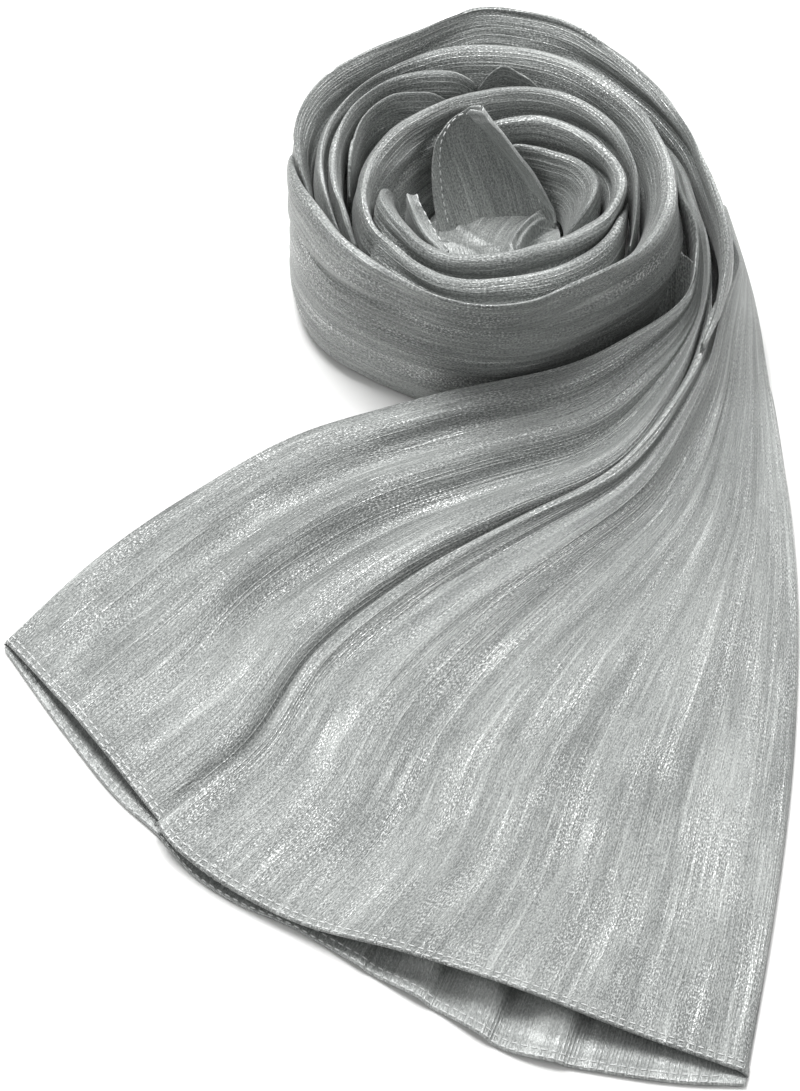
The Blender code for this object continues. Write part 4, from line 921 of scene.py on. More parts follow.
def across_tail(rows, folds, stations, along, across):
    """Plan, heights and direction across of a panel; along is in sections, across is a share."""
    sides = spline(range(len(rows)), [row[:4] for row in rows], along)
    start, end = sides[:, None, 0:2], sides[:, None, 2:4]
    plan = start + (end - start) * np.clip(across, 0, 1)[None, :, None]
    heights = spline(stations, np.array([z for _, z in folds.values()]).T, along)
    places = [place for place, _ in folds.values()]
    z = np.stack([spline(places, row, across)[:, 0] for row in heights])
    direction = (end - start) / np.maximum(np.linalg.norm(end - start, axis=2, keepdims=True), 1e-9)
    return plan, z, direction


def panel_stations(rows):
    """Places along a panel, in sections and in millimetres, with close rows across its hem."""
    fine = np.linspace(0, len(rows) - 1, 600)
    sides = spline(range(len(rows)), [row[:4] for row in rows], fine)
    middle = (sides[:, 0:2] + sides[:, 2:4]) / 2
    length = np.concatenate([[0], np.cumsum(np.linalg.norm(np.diff(middle, axis=0), axis=1))])
    flat = length[-1] - HEM_WIDTH
    reach = np.concatenate([np.linspace(0, flat, PANEL_ROWS)[:-1], flat + np.array(EDGE_REACH)])
    return np.interp(reach, length, fine), reach


def hem_relief(to_edge):
    """Height of the rolled hem over its panel: a soft band with the stitched line sunk in it."""
    band = step_up(HEM_WIDTH + 0.3 - to_edge, 0, 0.9)
    stitched = np.exp(-((to_edge - HEM_WIDTH + 1.0) / 0.45)**2)
    return HEM_PROUD * band - 0.35 * stitched


def turn_under(grid, along, across):
    """Adds the rows that carry the cloth round the hem's edge and back underneath."""
    out = grid[-1] - grid[-4]
    out[:, 2] *= 0.3
    out /= np.linalg.norm(out, axis=1, keepdims=True)
    up = np.array([0.0, 0.0, 1.0])
    start = grid[-1] - out * EDGE_REACH[-1]
    start[:, 2] = grid[-1, :, 2]
    rows = [start + out * reach - up * drop for reach, drop in TURNED_UNDER]
    run = along[-1, 0] + np.cumsum([0.7] * len(rows))
    grid = np.concatenate([grid, np.stack(rows)])
    along = np.concatenate([along, run[:, None] + np.zeros((len(rows), along.shape[1]))])
    return grid, along, np.concatenate([across, np.repeat(across[-1:], len(rows), axis=0)])


def gathered(width):
    """How much of its full size a fold keeps where a panel is gathered to this width."""
    return np.clip(width / width.max(), 0.05, 1)**0.6


def raise_panel(grid, height):
    """Moves a panel's points along its upward normals."""
    normal = grid_normals(grid)
    normal = normal if normal[..., 2].mean() > 0 else -normal
    return grid + normal * height[..., None]


def facing_up(grid, normal):
    """True where a sheet's outer face looks up."""
    return normal[:len(grid) - len(TURNED_UNDER), :, 2].mean() > 0


print("rows over a hem:", len(EDGE_REACH) + len(TURNED_UNDER))

# %% Left panel
# One row for each crease or ridge of a panel: the shares of the length it runs between, the
# shares of the width at both ends, its height (a crease is negative) and its width.
Pleat = namedtuple("Pleat", "start end from_share to_share height width")
LEFT_PLEATS = [
    Pleat(0.10, 0.62, 0.20, 0.22, -1.6, 4.0),
    Pleat(0.18, 0.75, 0.36, 0.34, 1.3, 5.0),
    Pleat(0.30, 0.90, 0.66, 0.62, -1.5, 5.0),
    Pleat(0.05, 0.45, 0.50, 0.52, -1.5, 3.4),
    Pleat(0.40, 0.98, 0.90, 0.84, 1.2, 5.0),
    Pleat(0.55, 0.98, 0.12, 0.08, -1.0, 6.0),
    Pleat(-0.2, 1.2, 0.955, 0.955, -3.2, 4.2),
]


def pleats(table, along, across, share, seed):
    """Height of the creases and ridges of a panel at each of its points."""
    height = np.zeros_like(across)
    for p in table:
        run = (along / along.max() - p.start) / (p.end - p.start)
        place = p.from_share + (p.to_share - p.from_share) * run
        place = place + 0.02 * noise(along / 60, p.from_share * 9, seed)
        strength = step_up(run, 0, 0.3) * (1 - step_up(run, 0.7, 1))
        away = (share - place) * np.ptp(across[-1]) / p.width
        height += p.height * strength * np.exp(-away**2)
    return height


def left_panel():
    """Grid of the left panel, with its places along and across."""
    stations, reach = panel_stations(LEFT_PANEL)
    share = np.linspace(0, 1, 180)
    plan, z, side = across_tail(LEFT_PANEL, LEFT_FOLDS, LEFT_STATIONS, stations, share)
    behind, under = spline(range(len(LEFT_PANEL)), [row[4:] for row in LEFT_PANEL], stations).T
    depth = np.minimum(z[:, 0] - PANEL_FOOT_Z, 4 * behind**2)
    back, tuck = [], []
    for part, drop in ((1.0, 1.0), (1.0, 0.8), (0.95, 0.62), (0.85, 0.42), (0.7, 0.25),
                       (0.4, 0.08)):
        edge = plan[:, 0] - side[:, 0] * (behind * part)[:, None]
        back.append(np.concatenate([edge, (z[:, 0] - depth * drop)[:, None]], axis=1))
    for part, drop in ((0.25, 0.3), (0.5, 0.8), (0.75, 1.2), (1.0, 1.4)):
        edge = plan[:, -1] + side[:, 0] * (under * part)[:, None]
        foot = np.maximum(z[:, -1] - drop * np.minimum(under / 3, 1), CLOTH + PANEL_FOOT_Z)
        tuck.append(np.concatenate([edge, foot[:, None]], axis=1))
    top = np.concatenate([plan, z[..., None]], axis=2)
    grid = np.concatenate([np.stack(back, axis=1), top, np.stack(tuck, axis=1)], axis=1)
    width = np.linalg.norm(plan[:, -1] - plan[:, 0], axis=1)
    share = np.concatenate([np.linspace(-0.03, -0.005, len(back)), share,
                            np.linspace(1.01, 1.04, len(tuck))])
    along = reach[:, None] + np.zeros((len(reach), len(share)))
    across = share[None, :] * width[-1] + np.zeros_like(along)
    rough = soft_folds(along, across, 101, 0.5) + crinkle(along, across, 111, 0.5)
    rough += pleats(LEFT_PLEATS, along, across, share, 121)
    rough *= gathered(width)[:, None] * step_up(share, -0.02, 0.03) * step_up(1 - share, 0.0, 0.05)
    rough = rough * step_up(along, 0, 20) * step_up(reach.max() + 2 - along, 0, 14)
    rough += hem_relief(reach.max() + 0.4 - along) * step_up(share, 0, 0.01)
    return turn_under(raise_panel(grid, rough), along, across), width


(grid, along, across), width = left_panel()
left_sheet = sheet_piece("satin_tail_left_panel", grid, along, across, satin, facing_up)
left_hem = grid
declare(left_sheet, ["tail_left_panel", "hem_left"])

# %% Right panel
RIGHT_PLEATS = [
    Pleat(-0.2, 1.2, 0.012, 0.012, 1.5, 3.0),
    Pleat(-0.1, 0.85, 0.050, 0.060, -1.6, 3.0),
    Pleat(0.02, 0.45, 0.10, 0.09, -1.4, 4.0),
    Pleat(0.22, 0.80, 0.17, 0.16, 1.2, 4.0),
    Pleat(0.30, 0.92, 0.33, 0.31, -0.8, 7.0),
    Pleat(0.06, 0.50, 0.44, 0.40, -1.2, 4.0),
    Pleat(0.45, 0.98, 0.62, 0.60, -0.8, 8.0),
    Pleat(0.12, 0.60, 0.84, 0.80, 1.0, 6.0),
    Pleat(0.45, 0.95, 0.86, 0.88, -0.8, 7.0),
]


def right_panel():
    """Grid of the right panel, with its places along and across."""
    stations, reach = panel_stations(RIGHT_PANEL)
    share = np.linspace(0, 1, 262)
    plan, z, side = across_tail(RIGHT_PANEL, RIGHT_FOLDS, RIGHT_STATIONS, stations, share)
    lip, bow = spline(range(len(RIGHT_PANEL)), [row[4:] for row in RIGHT_PANEL], stations).T
    down = np.stack([side[:, 0, 1], -side[:, 0, 0]], axis=1)
    plan = plan + down[:, None] * (bow[:, None] * np.sin(math.pi * share**0.62))[..., None]
    roll, fold = [], []
    for part, drop in ((1.0, 1.0), (0.98, 0.8), (0.9, 0.58), (0.75, 0.36), (0.55, 0.18),
                       (0.3, 0.06)):
        edge = plan[:, 0] - side[:, 0] * (np.minimum(lip, 3.4) * part)[:, None]
        roll.append(np.concatenate([edge, (z[:, 0] - lip * drop)[:, None]], axis=1))
    for part, drop in ((0.3, 0.07), (0.55, 0.22), (0.75, 0.4), (0.9, 0.6), (0.98, 0.8), (1, 1)):
        edge = plan[:, -1] + side[:, 0] * OUTER_FOLD_REACH * part
        foot = z[:, -1] - (z[:, -1] - PANEL_FOOT_Z) * drop
        fold.append(np.concatenate([edge, foot[:, None]], axis=1))
    top = np.concatenate([plan, z[..., None]], axis=2)
    grid = np.concatenate([np.stack(roll, axis=1), top, np.stack(fold, axis=1)], axis=1)
    width = np.linalg.norm(plan[:, -1] - plan[:, 0], axis=1)
    share = np.concatenate([np.linspace(-0.02, -0.003, len(roll)), share,
                            np.linspace(1.005, 1.03, len(fold))])
    along = reach[:, None] + np.zeros((len(reach), len(share)))
    across = share[None, :] * width[-1] + np.zeros_like(along)
    rough = soft_folds(along, across, 201, 0.3) + crinkle(along, across, 211, 0.4)
    rough += pleats(RIGHT_PLEATS, along, across, share, 221)
    rough *= gathered(width)[:, None] * step_up(share, -0.02, 0.01) * step_up(1.03 - share, 0, .05)
    rough = rough * step_up(along, 0, 20) * step_up(reach.max() + 2 - along, 0, 14)
    rough += hem_relief(reach.max() + 0.4 - along) * step_up(share, 0, 0.01)
    return turn_under(raise_panel(grid, rough), along, across), width


(grid, along, across), width = right_panel()
right_sheet = sheet_piece("satin_tail_right_panel", grid, along, across, satin, facing_up)
right_hem = grid
declare(right_sheet, ["tail_right_panel", "hem_right"])

# %% [markdown]
# ## The under layer and the hidden layers
# The other half of the doubled cloth lies flat on the table under both panels.  It shows past
# the right panel's fold, and in the mouth of the hem, where it is drawn up in knife pleats and
# shows its reverse, drawn paler partly as that reverse face and partly as painted light that
# lifts the upper panel's shade.  The neck is filled by folded layers that hardly show, so they
# are one arched sheet, and one more sloping fold closes the gap between the neck and the coil.

# %% Under layer
def under_layer():
    """Grid of the under layer, with its places along and across."""
    stations, reach = panel_stations(UNDER_LAYER)
    share = np.linspace(0, 1, 220)
    sides = spline(range(len(UNDER_LAYER)), UNDER_LAYER, stations)
    start, end = sides[:, None, 0:2], sides[:, None, 2:4]
    plan = start + (end - start) * share[None, :, None]
    side = (end - start)[:, 0] / np.linalg.norm((end - start)[:, 0], axis=1, keepdims=True)
    down = np.stack([side[:, 1], -side[:, 0]], axis=1)
    run = stations / (len(UNDER_LAYER) - 1)
    bow = spline(*zip(*UNDER_BOW), share)[:, 0]
    plan = plan + down[:, None] * (run[:, None]**2 * bow[None, :])[..., None]
    in_mouth = np.clip((share - GATHER_FROM) / (GATHER_TO - GATHER_FROM), 0, 1)
    pleat = in_mouth * KNIFE_PLEATS % 1
    waves = step_up(pleat, 0.0, 0.7) * (1 - step_up(pleat, 0.8, 1.0))
    waves *= step_up(in_mouth, 0.1, 0.5)
    fade = step_up(run, 1 - GATHER_LENGTH, 0.95) * (1 - 0.7 * step_up(run, 0.962, 0.984))
    z = UNDER_THICK + PLEAT_HEIGHT * waves[None, :] * fade[:, None]
    grid = np.concatenate([plan, z[..., None]], axis=2)
    width = np.linalg.norm(plan[:, -1] - plan[:, 0], axis=1)
    along = reach[:, None] + np.zeros((len(reach), len(share)))
    across = share[None, :] * width[-1] + np.zeros_like(along)
    rough = 0.12 + 0.35 * crinkle(along, across, 311) * gathered(width)[:, None]
    rough += hem_relief(reach.max() + 0.4 - along)
    grid[..., 2] += rough
    return grid, along, across, width


grid, along, across, width = under_layer()
# The under layer takes the paler reverse: partly the reverse face, partly painted light that lifts
# the upper panel's shade in the mouth.
under_sheet = sheet_piece("satin_tail_under_layer", grid, along, across, reverse_satin_painted_light,
                          facing_up, wall=1.3)
under_hem = grid
declare(under_sheet, ["tail_under_layer", "hem_under"])

# %% Hidden layers under the gathered neck
def hidden_layers():
    """Arched grid over the folded layers that fill the neck."""
    fine = np.linspace(0, len(HIDDEN_LAYERS) - 1, 60)
    rows = spline(range(len(HIDDEN_LAYERS)), HIDDEN_LAYERS, fine)
    turn = np.linspace(0, math.pi, 60)
    start, end = rows[:, None, 0:2], rows[:, None, 2:4]
    plan = start + (end - start) * ((1 - np.cos(turn)) / 2)[None, :, None]
    z = UNDER_THICK + SEAM_GAP + SATIN + 0.8 * rows[:, None, 4] * np.sin(turn)[None, :]
    return np.concatenate([plan, z[..., None]], axis=2)


grid = hidden_layers()
steps = np.linalg.norm(np.diff(grid, axis=0), axis=2).mean(axis=1)
along = np.concatenate([[0], np.cumsum(steps)])[:, None] + np.zeros(grid.shape[:2])
steps = np.linalg.norm(np.diff(grid, axis=1), axis=2).mean(axis=0)
across = np.concatenate([[0], np.cumsum(steps)])[None, :] + np.zeros(grid.shape[:2])
grid = raise_panel(grid, crinkle(along, across, 411))
hidden_sheet = sheet_piece("satin_hidden_layers", grid, along, across, satin, facing_up)
declare(hidden_sheet, ["hidden_layers"])


# %% Fold between the coil and the neck
# Plan of the fold's upper edge and the heights along it, then its foot and how far that leans.
NECK_FOLD = [(103.0, 119.0), (112.0, 119.5), (119.5, 117.0), (126.0, 109.0)]
NECK_FOLD_TOP = [46.5, 46.0, 44.0, 38.5]
NECK_FOLD_PLACES = (0, 0.35, 0.7, 1)
NECK_FOLD_FOOT, NECK_FOLD_LEAN = 20.0, 19.0


def neck_fold():
    """Grid of the fold that slopes from the coil down behind the left panel's edge."""
    way = np.linspace(0, 1, 60)
    plan = spline(NECK_FOLD_PLACES, NECK_FOLD, way)
    top = spline(NECK_FOLD_PLACES, NECK_FOLD_TOP, way)
    rise = np.linspace(0, 1, 44)
    z = NECK_FOLD_FOOT + (top - NECK_FOLD_FOOT) * rise[None, :]
    lean = NECK_FOLD_LEAN * (1 - rise)**1.2
    return np.stack([plan[:, None, 0] + 0 * z, plan[:, None, 1] - lean[None, :], z], axis=2)


grid = neck_fold()
steps = np.linalg.norm(np.diff(grid, axis=1), axis=2).mean(axis=0)
down = np.concatenate([[0], np.cumsum(steps)])[None, :] + np.zeros(grid.shape[:2])
steps = np.linalg.norm(np.diff(grid, axis=0), axis=2).mean(axis=1)
across = np.concatenate([[0], np.cumsum(steps)])[:, None] + np.zeros(grid.shape[:2])
rough = soft_folds(down, across, 421, 0.8) + crinkle(down, across, 422)
grid[..., 1] -= rough * step_up(across.max() - across, 0, 6)
neck_sheet = sheet_piece("satin_neck_fold", grid, down, across, satin,
                         lambda grid, normal: normal[..., 1].mean() < 0)
declare(neck_sheet, ["hidden_layers"])

# %% [markdown]
# ## Inside the coil
# The scarf's inner end shows in the hollow: its bottom is a shallow bowl of cloth drawn round
# in folds, one hemmed corner stands up at the back, and a short loop of hem stands beside it.
# The bowl's sheet is a square grid pressed into a round outline, so it has no pole, and two
# folds cross it in an arc, with the deepest part of the hollow in front of them.

# %% Bottom of the hollow
ARC_CENTRE = (64.0, 141.0)       # point in plan that the cloth is drawn round
# One row for each fold: the points it runs through in plan, its height and its half width.
FloorFold = namedtuple("FloorFold", "points z width")
FLOOR_FOLDS = [
    FloorFold([(43.5, 124), (45.5, 133), (49.5, 146), (58, 157), (66, 161), (76, 159)], 32.5, 2.1),
    FloorFold([(46.5, 128), (49.0, 137), (54, 149), (62, 156), (75, 154)], 30.5, 1.7),
    FloorFold([(12, 150), (16, 143), (28, 137), (37, 128), (41, 115)], 31.0, 3.2),
    FloorFold([(24, 155), (33, 146), (44, 139), (52, 128), (56, 118)], 27.0, 1.8),
]


def floor_edge(angle):
    """How far out the bottom of the hollow reaches at these angles, and its height there."""
    knots = [row.angle for row in CORE_FLOOR] + [360]
    table = [row[1:] for row in CORE_FLOOR] + [CORE_FLOOR[0][1:]]
    return spline(knots, table, np.ravel(angle)).T.reshape(2, *np.shape(angle))


def floor_height(x, y):
    """Height of the bottom of the hollow under points given in plan."""
    x, y = x - COIL_CENTRE[0], y - COIL_CENTRE[1]
    reach, edge_z = floor_edge(np.degrees(np.arctan2(y, x)) % 360)
    share = np.minimum(np.hypot(x, y) / reach, 1.0)
    return CORE_MIDDLE_Z + (edge_z - CORE_MIDDLE_Z) * share**2


side = np.linspace(-1, 1, 110)
u, v = np.meshgrid(side, side, indexing="ij")
disc_x, disc_y = u * np.sqrt(1 - v * v / 2), v * np.sqrt(1 - u * u / 2)
reach, _ = floor_edge(np.degrees(np.arctan2(disc_y, disc_x)) % 360)
x = COIL_CENTRE[0] + disc_x * reach * 0.995
y = COIL_CENTRE[1] + disc_y * reach * 0.995
across = np.hypot(x - ARC_CENTRE[0], y - ARC_CENTRE[1])
along = 30 * np.arctan2(ARC_CENTRE[1] - y, x - ARC_CENTRE[0])
inward = step_up(1 - np.maximum(np.abs(u), np.abs(v)), 0.0, 0.22)
z = floor_height(x, y) + 0.4
z += inward * (5.5 * step_up(across, 12, 19) - 3.0 * step_up(14 - across, 0, 8))
for fold in FLOOR_FOLDS:
    line = spline(range(len(fold.points)), fold.points, np.linspace(0, len(fold.points) - 1, 80))
    away = np.min(np.hypot(x[..., None] - line[:, 0], y[..., None] - line[:, 1]), axis=2)
    near = inward * np.exp(-(away / fold.width)**2)
    z += np.maximum(fold.z - z, 1.2) * near
z += inward * (0.6 * noise(along / 20, across / 5.0, 512) + crinkle(along, across, 514))
grid = np.stack([x, y, z], axis=2)
# The bottom of the hollow takes the copy with painted light, which lifts the shade in the hollow.
floor_sheet = sheet_piece("satin_hollow_floor", grid, along, across, satin_painted_light_inner, facing_up)
declare(floor_sheet, ["core_floor"])

# %% Standing corner of the inner end
def end_corner(rows=96, columns=72):
    """Front points of the corner that stands up in the hollow, from its foot to its tip."""
    table = END_CORNER[::-1]
    z = np.linspace(table[0].z, table[-1].z, rows)
    left_x, left_y, right_x, right_y, belly = spline([r.z for r in table],
                                                     [r[1:] for r in table], z).T
    share = np.linspace(0, 1, columns)[None, :]
    x = left_x[:, None] + (right_x - left_x)[:, None] * share
    y = left_y[:, None] + (right_y - left_y)[:, None] * share
    y = y + belly[:, None] * np.sin(math.pi * share)
    foot = floor_height(x[0], y[0]) + 5 * SEAM_GAP - z[0]
    low = (1 - (z - z[0]) / (z[-1] - z[0]))[:, None]**3
    return np.stack([x, y, z[:, None] + foot[None, :] * low], axis=2)


def along_and_across(grid):
    """Places along the rows and along the columns of a small grid, in millimetres."""
    rows = np.linalg.norm(np.diff(grid, axis=0), axis=2).mean(axis=1)
    columns = np.linalg.norm(np.diff(grid, axis=1), axis=2)
    along = np.concatenate([[0], np.cumsum(rows)])[:, None] + np.zeros(grid.shape[:2])
    across = np.concatenate([np.zeros((len(grid), 1)), np.cumsum(columns, axis=1)], axis=1)
    return along, across - across[:, -1:] / 2


def facing_front(grid, normal):
    """True where a sheet's outer face looks to the front."""
    return normal[..., 1].mean() < 0


corner_grid = end_corner()
along, across = along_and_across(corner_grid)
half = np.abs(across).max(axis=1, keepdims=True)
from_right, from_left = half - across, half + across
rough = 1.1 * noise(along / 30, across / 11, 521) + crinkle(along, across, 522)
rough *= step_up(np.minimum(from_left, along.max() - along), 3, 10) * step_up(along, 2, 14)
rough -= 2.2 * np.exp(-((from_right - 15) / 7)**2) * step_up(along, 4, 30)
rough += hem_relief(np.minimum(from_left, (along.max() - along) * 1.2))
normal = grid_normals(corner_grid)
normal = normal if facing_front(corner_grid, normal) else -normal
corner_grid = corner_grid + normal * rough[..., None]
# The standing corner takes the copy with painted light, which lifts the shade on it in the hollow.
corner = sheet_piece("satin_standing_corner", corner_grid, along, across, satin_painted_light_inner,
                     facing_front)
declare(corner, ["end_corner"])

# %% The strip folded over along that corner's right edge
FOLDED_BAND = 7.4                # its full width
STRIP_RISE_ROWS = 34             # rows over which it lifts off and widens from its foot


def folded_strip(rows=slice(4, 95), columns=26):
    """Grid of the strip: flat in front of the corner, then round its edge to the back."""
    plane = corner_grid[rows]
    width = np.linalg.norm(plane[:, -1] - plane[:, 0], axis=1)
    rising = step_up(np.arange(len(plane)), 0, STRIP_RISE_ROWS)
    reach = np.minimum(FOLDED_BAND, 0.85 * width) * (0.08 + 0.92 * rising)
    ahead = np.linspace(0, 1, columns)
    points = []
    for line, wide, far, share in zip(plane, width, reach, rising):
        lift = 0.35 + 0.55 * share + 1.6 * ahead * share
        side = (line[-1] - line[0]) / wide
        front = np.cross(side, [0.0, 0.0, 1.0])
        place = line[-1] - side * far * (1 - ahead)[:, None] + front * lift[:, None]
        place[:, 1] = np.interp(place[:, 0], line[:, 0], line[:, 1]) - lift
        edge = [line[-1] + side * out + front * to_front
                for out, to_front in ((0.5, 0.7), (0.75, 0.0), (0.5, -0.8))]
        points.append(np.concatenate([place, edge]))
    return np.array(points)


strip_grid = folded_strip()
along, across = along_and_across(strip_grid)
rough = 0.35 * noise(along / 18, across / 5, 541) + crinkle(along, across, 542)
strip_grid[..., 1] -= rough * step_up(np.minimum(along, along.max() - along), 0, 8)
# The strip takes the same paler reverse: partly the folded-over reverse face, partly painted light
# that makes the band lighter, as if it faced the light.
strip = sheet_piece("satin_corner_strip", strip_grid, along, across, reverse_satin_painted_light, facing_front,
                    wall=0.4)
declare(strip, ["end_corner"])

# %% Small loop of hem, and the folded corner at the back
def corner_loop():
    """Section by section round the small loop: up its outer side, over and down inside."""
    angle = np.linspace(CORNER_LOOP[0].angle, CORNER_LOOP[-1].angle, 60)
    outer, inner, top = spline([row.angle for row in CORNER_LOOP],
                               [row[1:] for row in CORNER_LOOP], angle).T
    x, y = polar(angle, outer)
    low = floor_height(x, y) + 2
    wide = np.maximum(outer - inner, 5.2)
    control = [(outer, low), (outer, low + 0.6 * (top - low)), (outer + 0.3, top - 1),
               (outer - 0.1 * wide, top + 0.4), (outer - 0.35 * wide, top - 1.6),
               (outer - 0.75 * wide, top - 2.2), (outer - wide, top - 1.4),
               (outer - wide - 0.3, top - 3), (outer - wide, low + 0.5 * (top - low)),
               (outer - wide, low)]
    control = np.stack([np.stack(point, axis=1) for point in control], axis=1)
    section = rounded(control, 70)
    x, y = polar(angle[:, None], section[..., 0])
    return np.stack([x, y, section[..., 1]], axis=2)


def back_corner():
    """The folded corner between two turns at the back, from its foot to its edge."""
    angle = np.linspace(BACK_CORNER[0].angle, BACK_CORNER[-1].angle, 60)
    foot_r, top_r, top_z = spline([row.angle for row in BACK_CORNER],
                                  [row[1:] for row in BACK_CORNER], angle).T
    share = np.linspace(0, 1, 26)
    r = foot_r[:, None] + (top_r - foot_r)[:, None] * share
    z = BACK_CORNER_FOOT_Z + (top_z - BACK_CORNER_FOOT_Z)[:, None] * share
    x, y = polar(angle[:, None], r)
    return np.stack([x, y, z], axis=2)


loop_grid = corner_loop()
along, across = along_and_across(loop_grid)
normal = grid_normals(loop_grid)
normal = normal if normal[:, 10, 0].mean() < 0 else -normal
rough = crinkle(along, across, 531) + 0.5 * noise(along / 12, across / 9, 532)
loop_grid = loop_grid + normal * (rough * step_up(loop_grid[..., 2], 40, 48))[..., None]
# The loop takes the same copy with painted light, which lifts the hollow's shade.
loop = sheet_piece("satin_corner_loop", loop_grid, along, across, satin_painted_light_inner,
                   lambda grid, n: n[:, 10, 0].mean() < 0, wall=0.6)
declare(loop, ["corner_loop"])

back_grid = back_corner()
along, across = along_and_across(back_grid)
back = sheet_piece("satin_back_corner", back_grid, along, across, satin, facing_front)
declare(back, ["back_corner"])

# %% [markdown]
# ## Stitches
# Every hem of the real scarf is turned under once and sewn with a straight lockstitch, about
# three stitches to the centimetre, and the thread shows as a row of short bright dashes.  One
# Geometry Nodes tree lays a stitch at even steps along any line of points, turns it to follow
# the line, and makes the whole row one mesh.

# %% The stitch tree
THREAD = 0.62                    # thickness of the sewn thread, drawn a little heavy to show
SEGMENTS, RINGS = 8, 6           # of the bead that is drawn out into one stitch
BEAD_FACES = SEGMENTS * RINGS


def stitch_tree():
    """Lays stitches along a line; its inputs are sizes in metres."""
    tree = bpy.data.node_groups.new("hem stitches", "GeometryNodeTree")
    face = tree.interface
    face.new_socket("Geometry", in_out="INPUT", socket_type="NodeSocketGeometry")
    for name, value in (("Pitch", STITCH + STITCH_GAP), ("Stitch length", STITCH),
                        ("Thread", THREAD)):
        size = face.new_socket(name, in_out="INPUT", socket_type="NodeSocketFloat")
        size.default_value = value * MM
    face.new_socket("Geometry", in_out="OUTPUT", socket_type="NodeSocketGeometry")
    given = add(tree, "NodeGroupInput").outputs
    line = add(tree, "GeometryNodeMeshToCurve", [(given["Geometry"], "Mesh")]).outputs["Curve"]
    even = add(tree, "GeometryNodeResampleCurve", [(line, "Curve"), (given["Pitch"], "Length")],
               mode="LENGTH").outputs["Curve"]
    bead = add(tree, "GeometryNodeMeshUVSphere", Segments=SEGMENTS, Rings=RINGS, Radius=0.5)
    size = add(tree, "ShaderNodeCombineXYZ", [(given["Thread"], "X"), (given["Thread"], "Y"),
                                              (given["Stitch length"], "Z")])
    tangent = add(tree, "GeometryNodeInputTangent")
    turn = add(tree, "FunctionNodeAlignRotationToVector", [(tangent.outputs["Tangent"], "Vector")],
               axis="Z")
    rows = add(tree, "GeometryNodeInstanceOnPoints",
               [(even, "Points"), (bead.outputs["Mesh"], "Instance"),
                (turn.outputs["Rotation"], "Rotation"), (size.outputs["Vector"], "Scale")])
    real = add(tree, "GeometryNodeRealizeInstances", [(rows.outputs["Instances"], "Geometry")])
    smooth = add(tree, "GeometryNodeSetShadeSmooth", [(real.outputs["Geometry"], "Geometry")])
    done = add(tree, "GeometryNodeSetMaterial", [(smooth.outputs["Geometry"], "Geometry")],
               Material=thread)
    add(tree, "NodeGroupOutput", [(done.outputs["Geometry"], "Geometry")])
    return tree


stitches = stitch_tree()
print("stitch tree:", len(stitches.nodes), "nodes")


# %% Sew the hems
def sew(name, points):
    """A row of stitches along points in millimetres, as a plain mesh."""
    mesh = bpy.data.meshes.new(name)
    edges = [(k, k + 1) for k in range(len(points) - 1)]
    mesh.from_pydata((np.asarray(points) * MM).tolist(), edges, [])
    guide = bpy.data.objects.new(name + "_guide", mesh)
    bpy.context.scene.collection.objects.link(guide)
    row = guide.modifiers.new("stitches", "NODES")
    row.node_group = stitches
    sizes = {item.name: item.identifier for item in stitches.interface.items_tree
             if item.in_out == "INPUT"}
    row[sizes["Pitch"]] = (STITCH + STITCH_GAP) * MM
    row[sizes["Stitch length"]] = STITCH * MM
    row[sizes["Thread"]] = THREAD * MM
    depsgraph = bpy.context.evaluated_depsgraph_get()
    made = bpy.data.meshes.new_from_object(guide.evaluated_get(depsgraph))
    bpy.data.objects.remove(guide)
    piece = bpy.data.objects.new(name, made)
    bpy.context.scene.collection.objects.link(piece)
    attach(piece, "root")
    print(f"{name}: {len(made.polygons) // BEAD_FACES} stitches")
    return piece


SEAM_LINE, EDGE_LINE = 2, 5      # rows of a hem that its two lines of stitches follow
FROM_COLUMN, TO_COLUMN = 8, -6   # they leave out the rounded sides of the panel
CORNER_INSET = 6                 # rows and columns in from the standing corner's hem
LEFT_FOOT, RIGHT_FOOT = 14, 20   # rows that its stitches start from
LOOP_COLUMN, LOOP_ENDS = 43, 4   # column that the loop's stitches follow, and rows left out


def hem_line(grid, line, turned):
    """Points along one row of a hem, counted from its inner side; turned rows lie under it."""
    row = len(grid) - turned - len(EDGE_REACH) + line
    return grid[row, FROM_COLUMN:TO_COLUMN] + np.array([0.0, 0.0, 0.2])


for hem, grid, turned in (("left", left_hem, len(TURNED_UNDER)),
                          ("right", right_hem, len(TURNED_UNDER)), ("under", under_hem, 0)):
    sew(f"stitches_{hem}_hem", hem_line(grid, SEAM_LINE, turned))
    sew(f"stitches_{hem}_edge", hem_line(grid, EDGE_LINE, turned))
left_side = corner_grid[LEFT_FOOT:-CORNER_INSET, CORNER_INSET]
right_side = corner_grid[RIGHT_FOOT:-CORNER_INSET, -CORNER_INSET - 1][::-1]
tip = corner_grid[-CORNER_INSET, CORNER_INSET:-CORNER_INSET]
sew("stitches_corner_hem", np.concatenate([left_side, tip, right_side]) + [0, -0.12, 0.05])
sew("stitches_loop_hem", loop_grid[LOOP_ENDS:-LOOP_ENDS, LOOP_COLUMN] + [0, 0, 0.2])

# %% [markdown]
# ## Floor, light and camera
# A plain pale floor and soft light.  The key is a large panel above and behind the coil, which
# lights the rims and leaves the walls that face the camera in shade, and a weaker one fills
# from the front.  The camera looks down at the flat-lying scarf at the photograph's angle.

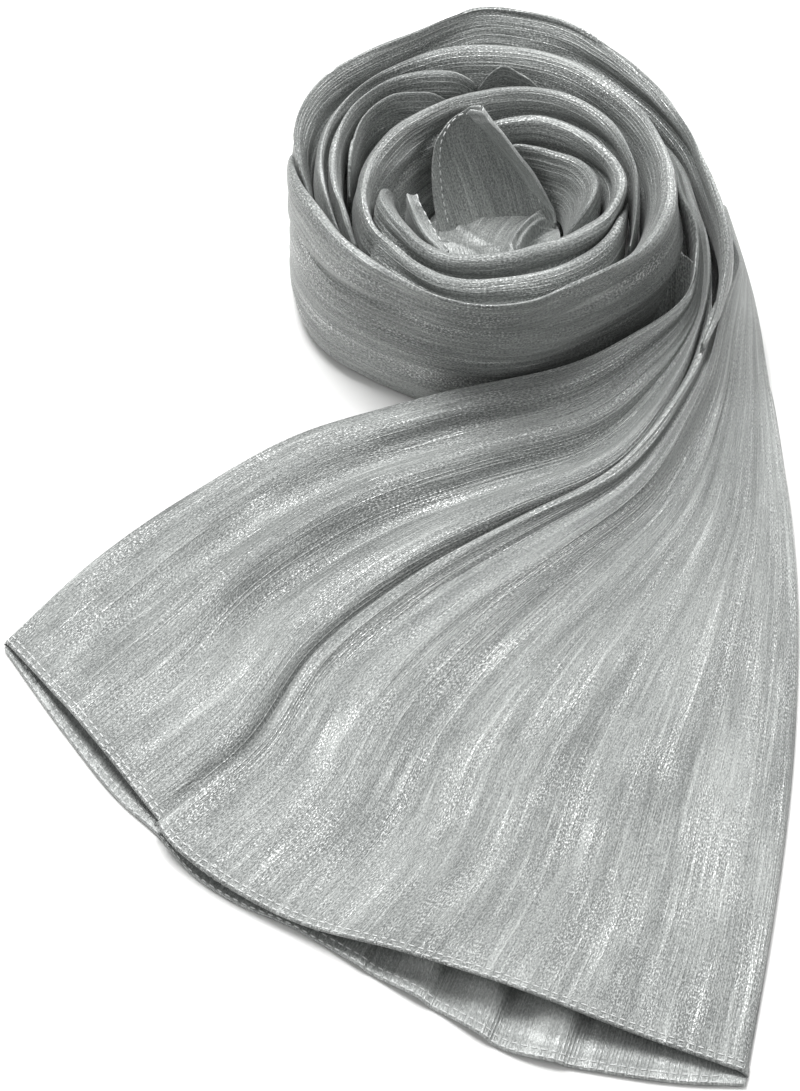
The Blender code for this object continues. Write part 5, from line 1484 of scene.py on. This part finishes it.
# %% Floor and lights
floor_mesh = bpy.data.meshes.new("floor")
floor_mesh.from_pydata([(-4, -4, 0), (4, -4, 0), (4, 4, 0), (-4, 4, 0)], [], [(0, 1, 2, 3)])
floor = bpy.data.objects.new("floor", floor_mesh)
bpy.context.scene.collection.objects.link(floor)
paper = bpy.data.materials.new("matt_white_paper")
paper.use_nodes = True
place = add(paper.node_tree, "ShaderNodeTexCoord").outputs["Object"]
pulp = add(paper.node_tree, "ShaderNodeTexNoise", [(place, "Vector")], Scale=300.0, Detail=3.0)
grain = add(paper.node_tree, "ShaderNodeBump", [(pulp.outputs["Fac"], "Height")], Strength=0.05,
            Distance=0.0003)
shader = paper.node_tree.nodes["Principled BSDF"]
shader.inputs["Base Color"].default_value = hex_colour("#F4F4F3")
shader.inputs["Roughness"].default_value = 0.9
paper.node_tree.links.new(grain.outputs["Normal"], shader.inputs["Normal"])
floor_mesh.materials.append(paper)


def soft_light(name, place, aim, size, power):
    """A square panel of light at a place in metres, turned to a point; its power is in watts."""
    light = bpy.data.lights.new(name, "AREA")
    light.size = size
    light.energy = power
    panel = bpy.data.objects.new(name, light)
    panel.location = place
    panel.rotation_euler = (Vector(aim) - Vector(place)).to_track_quat("-Z", "Y").to_euler()
    bpy.context.scene.collection.objects.link(panel)
    return panel


soft_light("key", (-0.30, 0.55, 1.55), (0.03, 0.06, 0.02), 0.70, 31.5)
soft_light("rim", (0.95, 1.20, 0.70), (0.05, 0.08, 0.03), 0.50, 14.0)
soft_light("fill", (-1.10, -0.40, 1.00), (0.03, 0.10, 0.02), 0.80, 4.0)
soft_light("front", (0.90, -0.60, 1.30), (0.05, 0.12, 0.03), 0.80, 3.0)
world = bpy.data.worlds.new("studio")
world.use_nodes = True
world.node_tree.nodes["Background"].inputs["Color"].default_value = (1.0, 1.0, 1.0, 1.0)
world.node_tree.nodes["Background"].inputs["Strength"].default_value = 0.20
bpy.context.scene.world = world
bpy.context.scene.view_settings.view_transform = "Standard"

# %% Camera
AIM = Vector((0.0, 0.0, 0.0))    # the middle of the part, on the table
DISTANCE, ELEVATION = 1.3, math.radians(50)          # metres from there, and angle above it
FOCUS_IN_PIXELS, PHOTO_HEIGHT, SENSOR = 3250, 1091, 24.0
lens = bpy.data.cameras.new("camera")
lens.sensor_fit = "VERTICAL"
lens.sensor_height = SENSOR
lens.lens = SENSOR * FOCUS_IN_PIXELS / PHOTO_HEIGHT
camera = bpy.data.objects.new("camera", lens)
camera.location = AIM + DISTANCE * Vector((0, -math.cos(ELEVATION), math.sin(ELEVATION)))
camera.rotation_euler = (AIM - camera.location).to_track_quat("-Z", "Y").to_euler()
bpy.context.scene.collection.objects.link(camera)
bpy.context.scene.camera = camera
print("lens:", round(lens.lens, 1), "mm")

# %% [markdown]
# ## Finish
# The scene's view layer is brought up to date.

# %% Finish
bpy.context.view_layer.update()
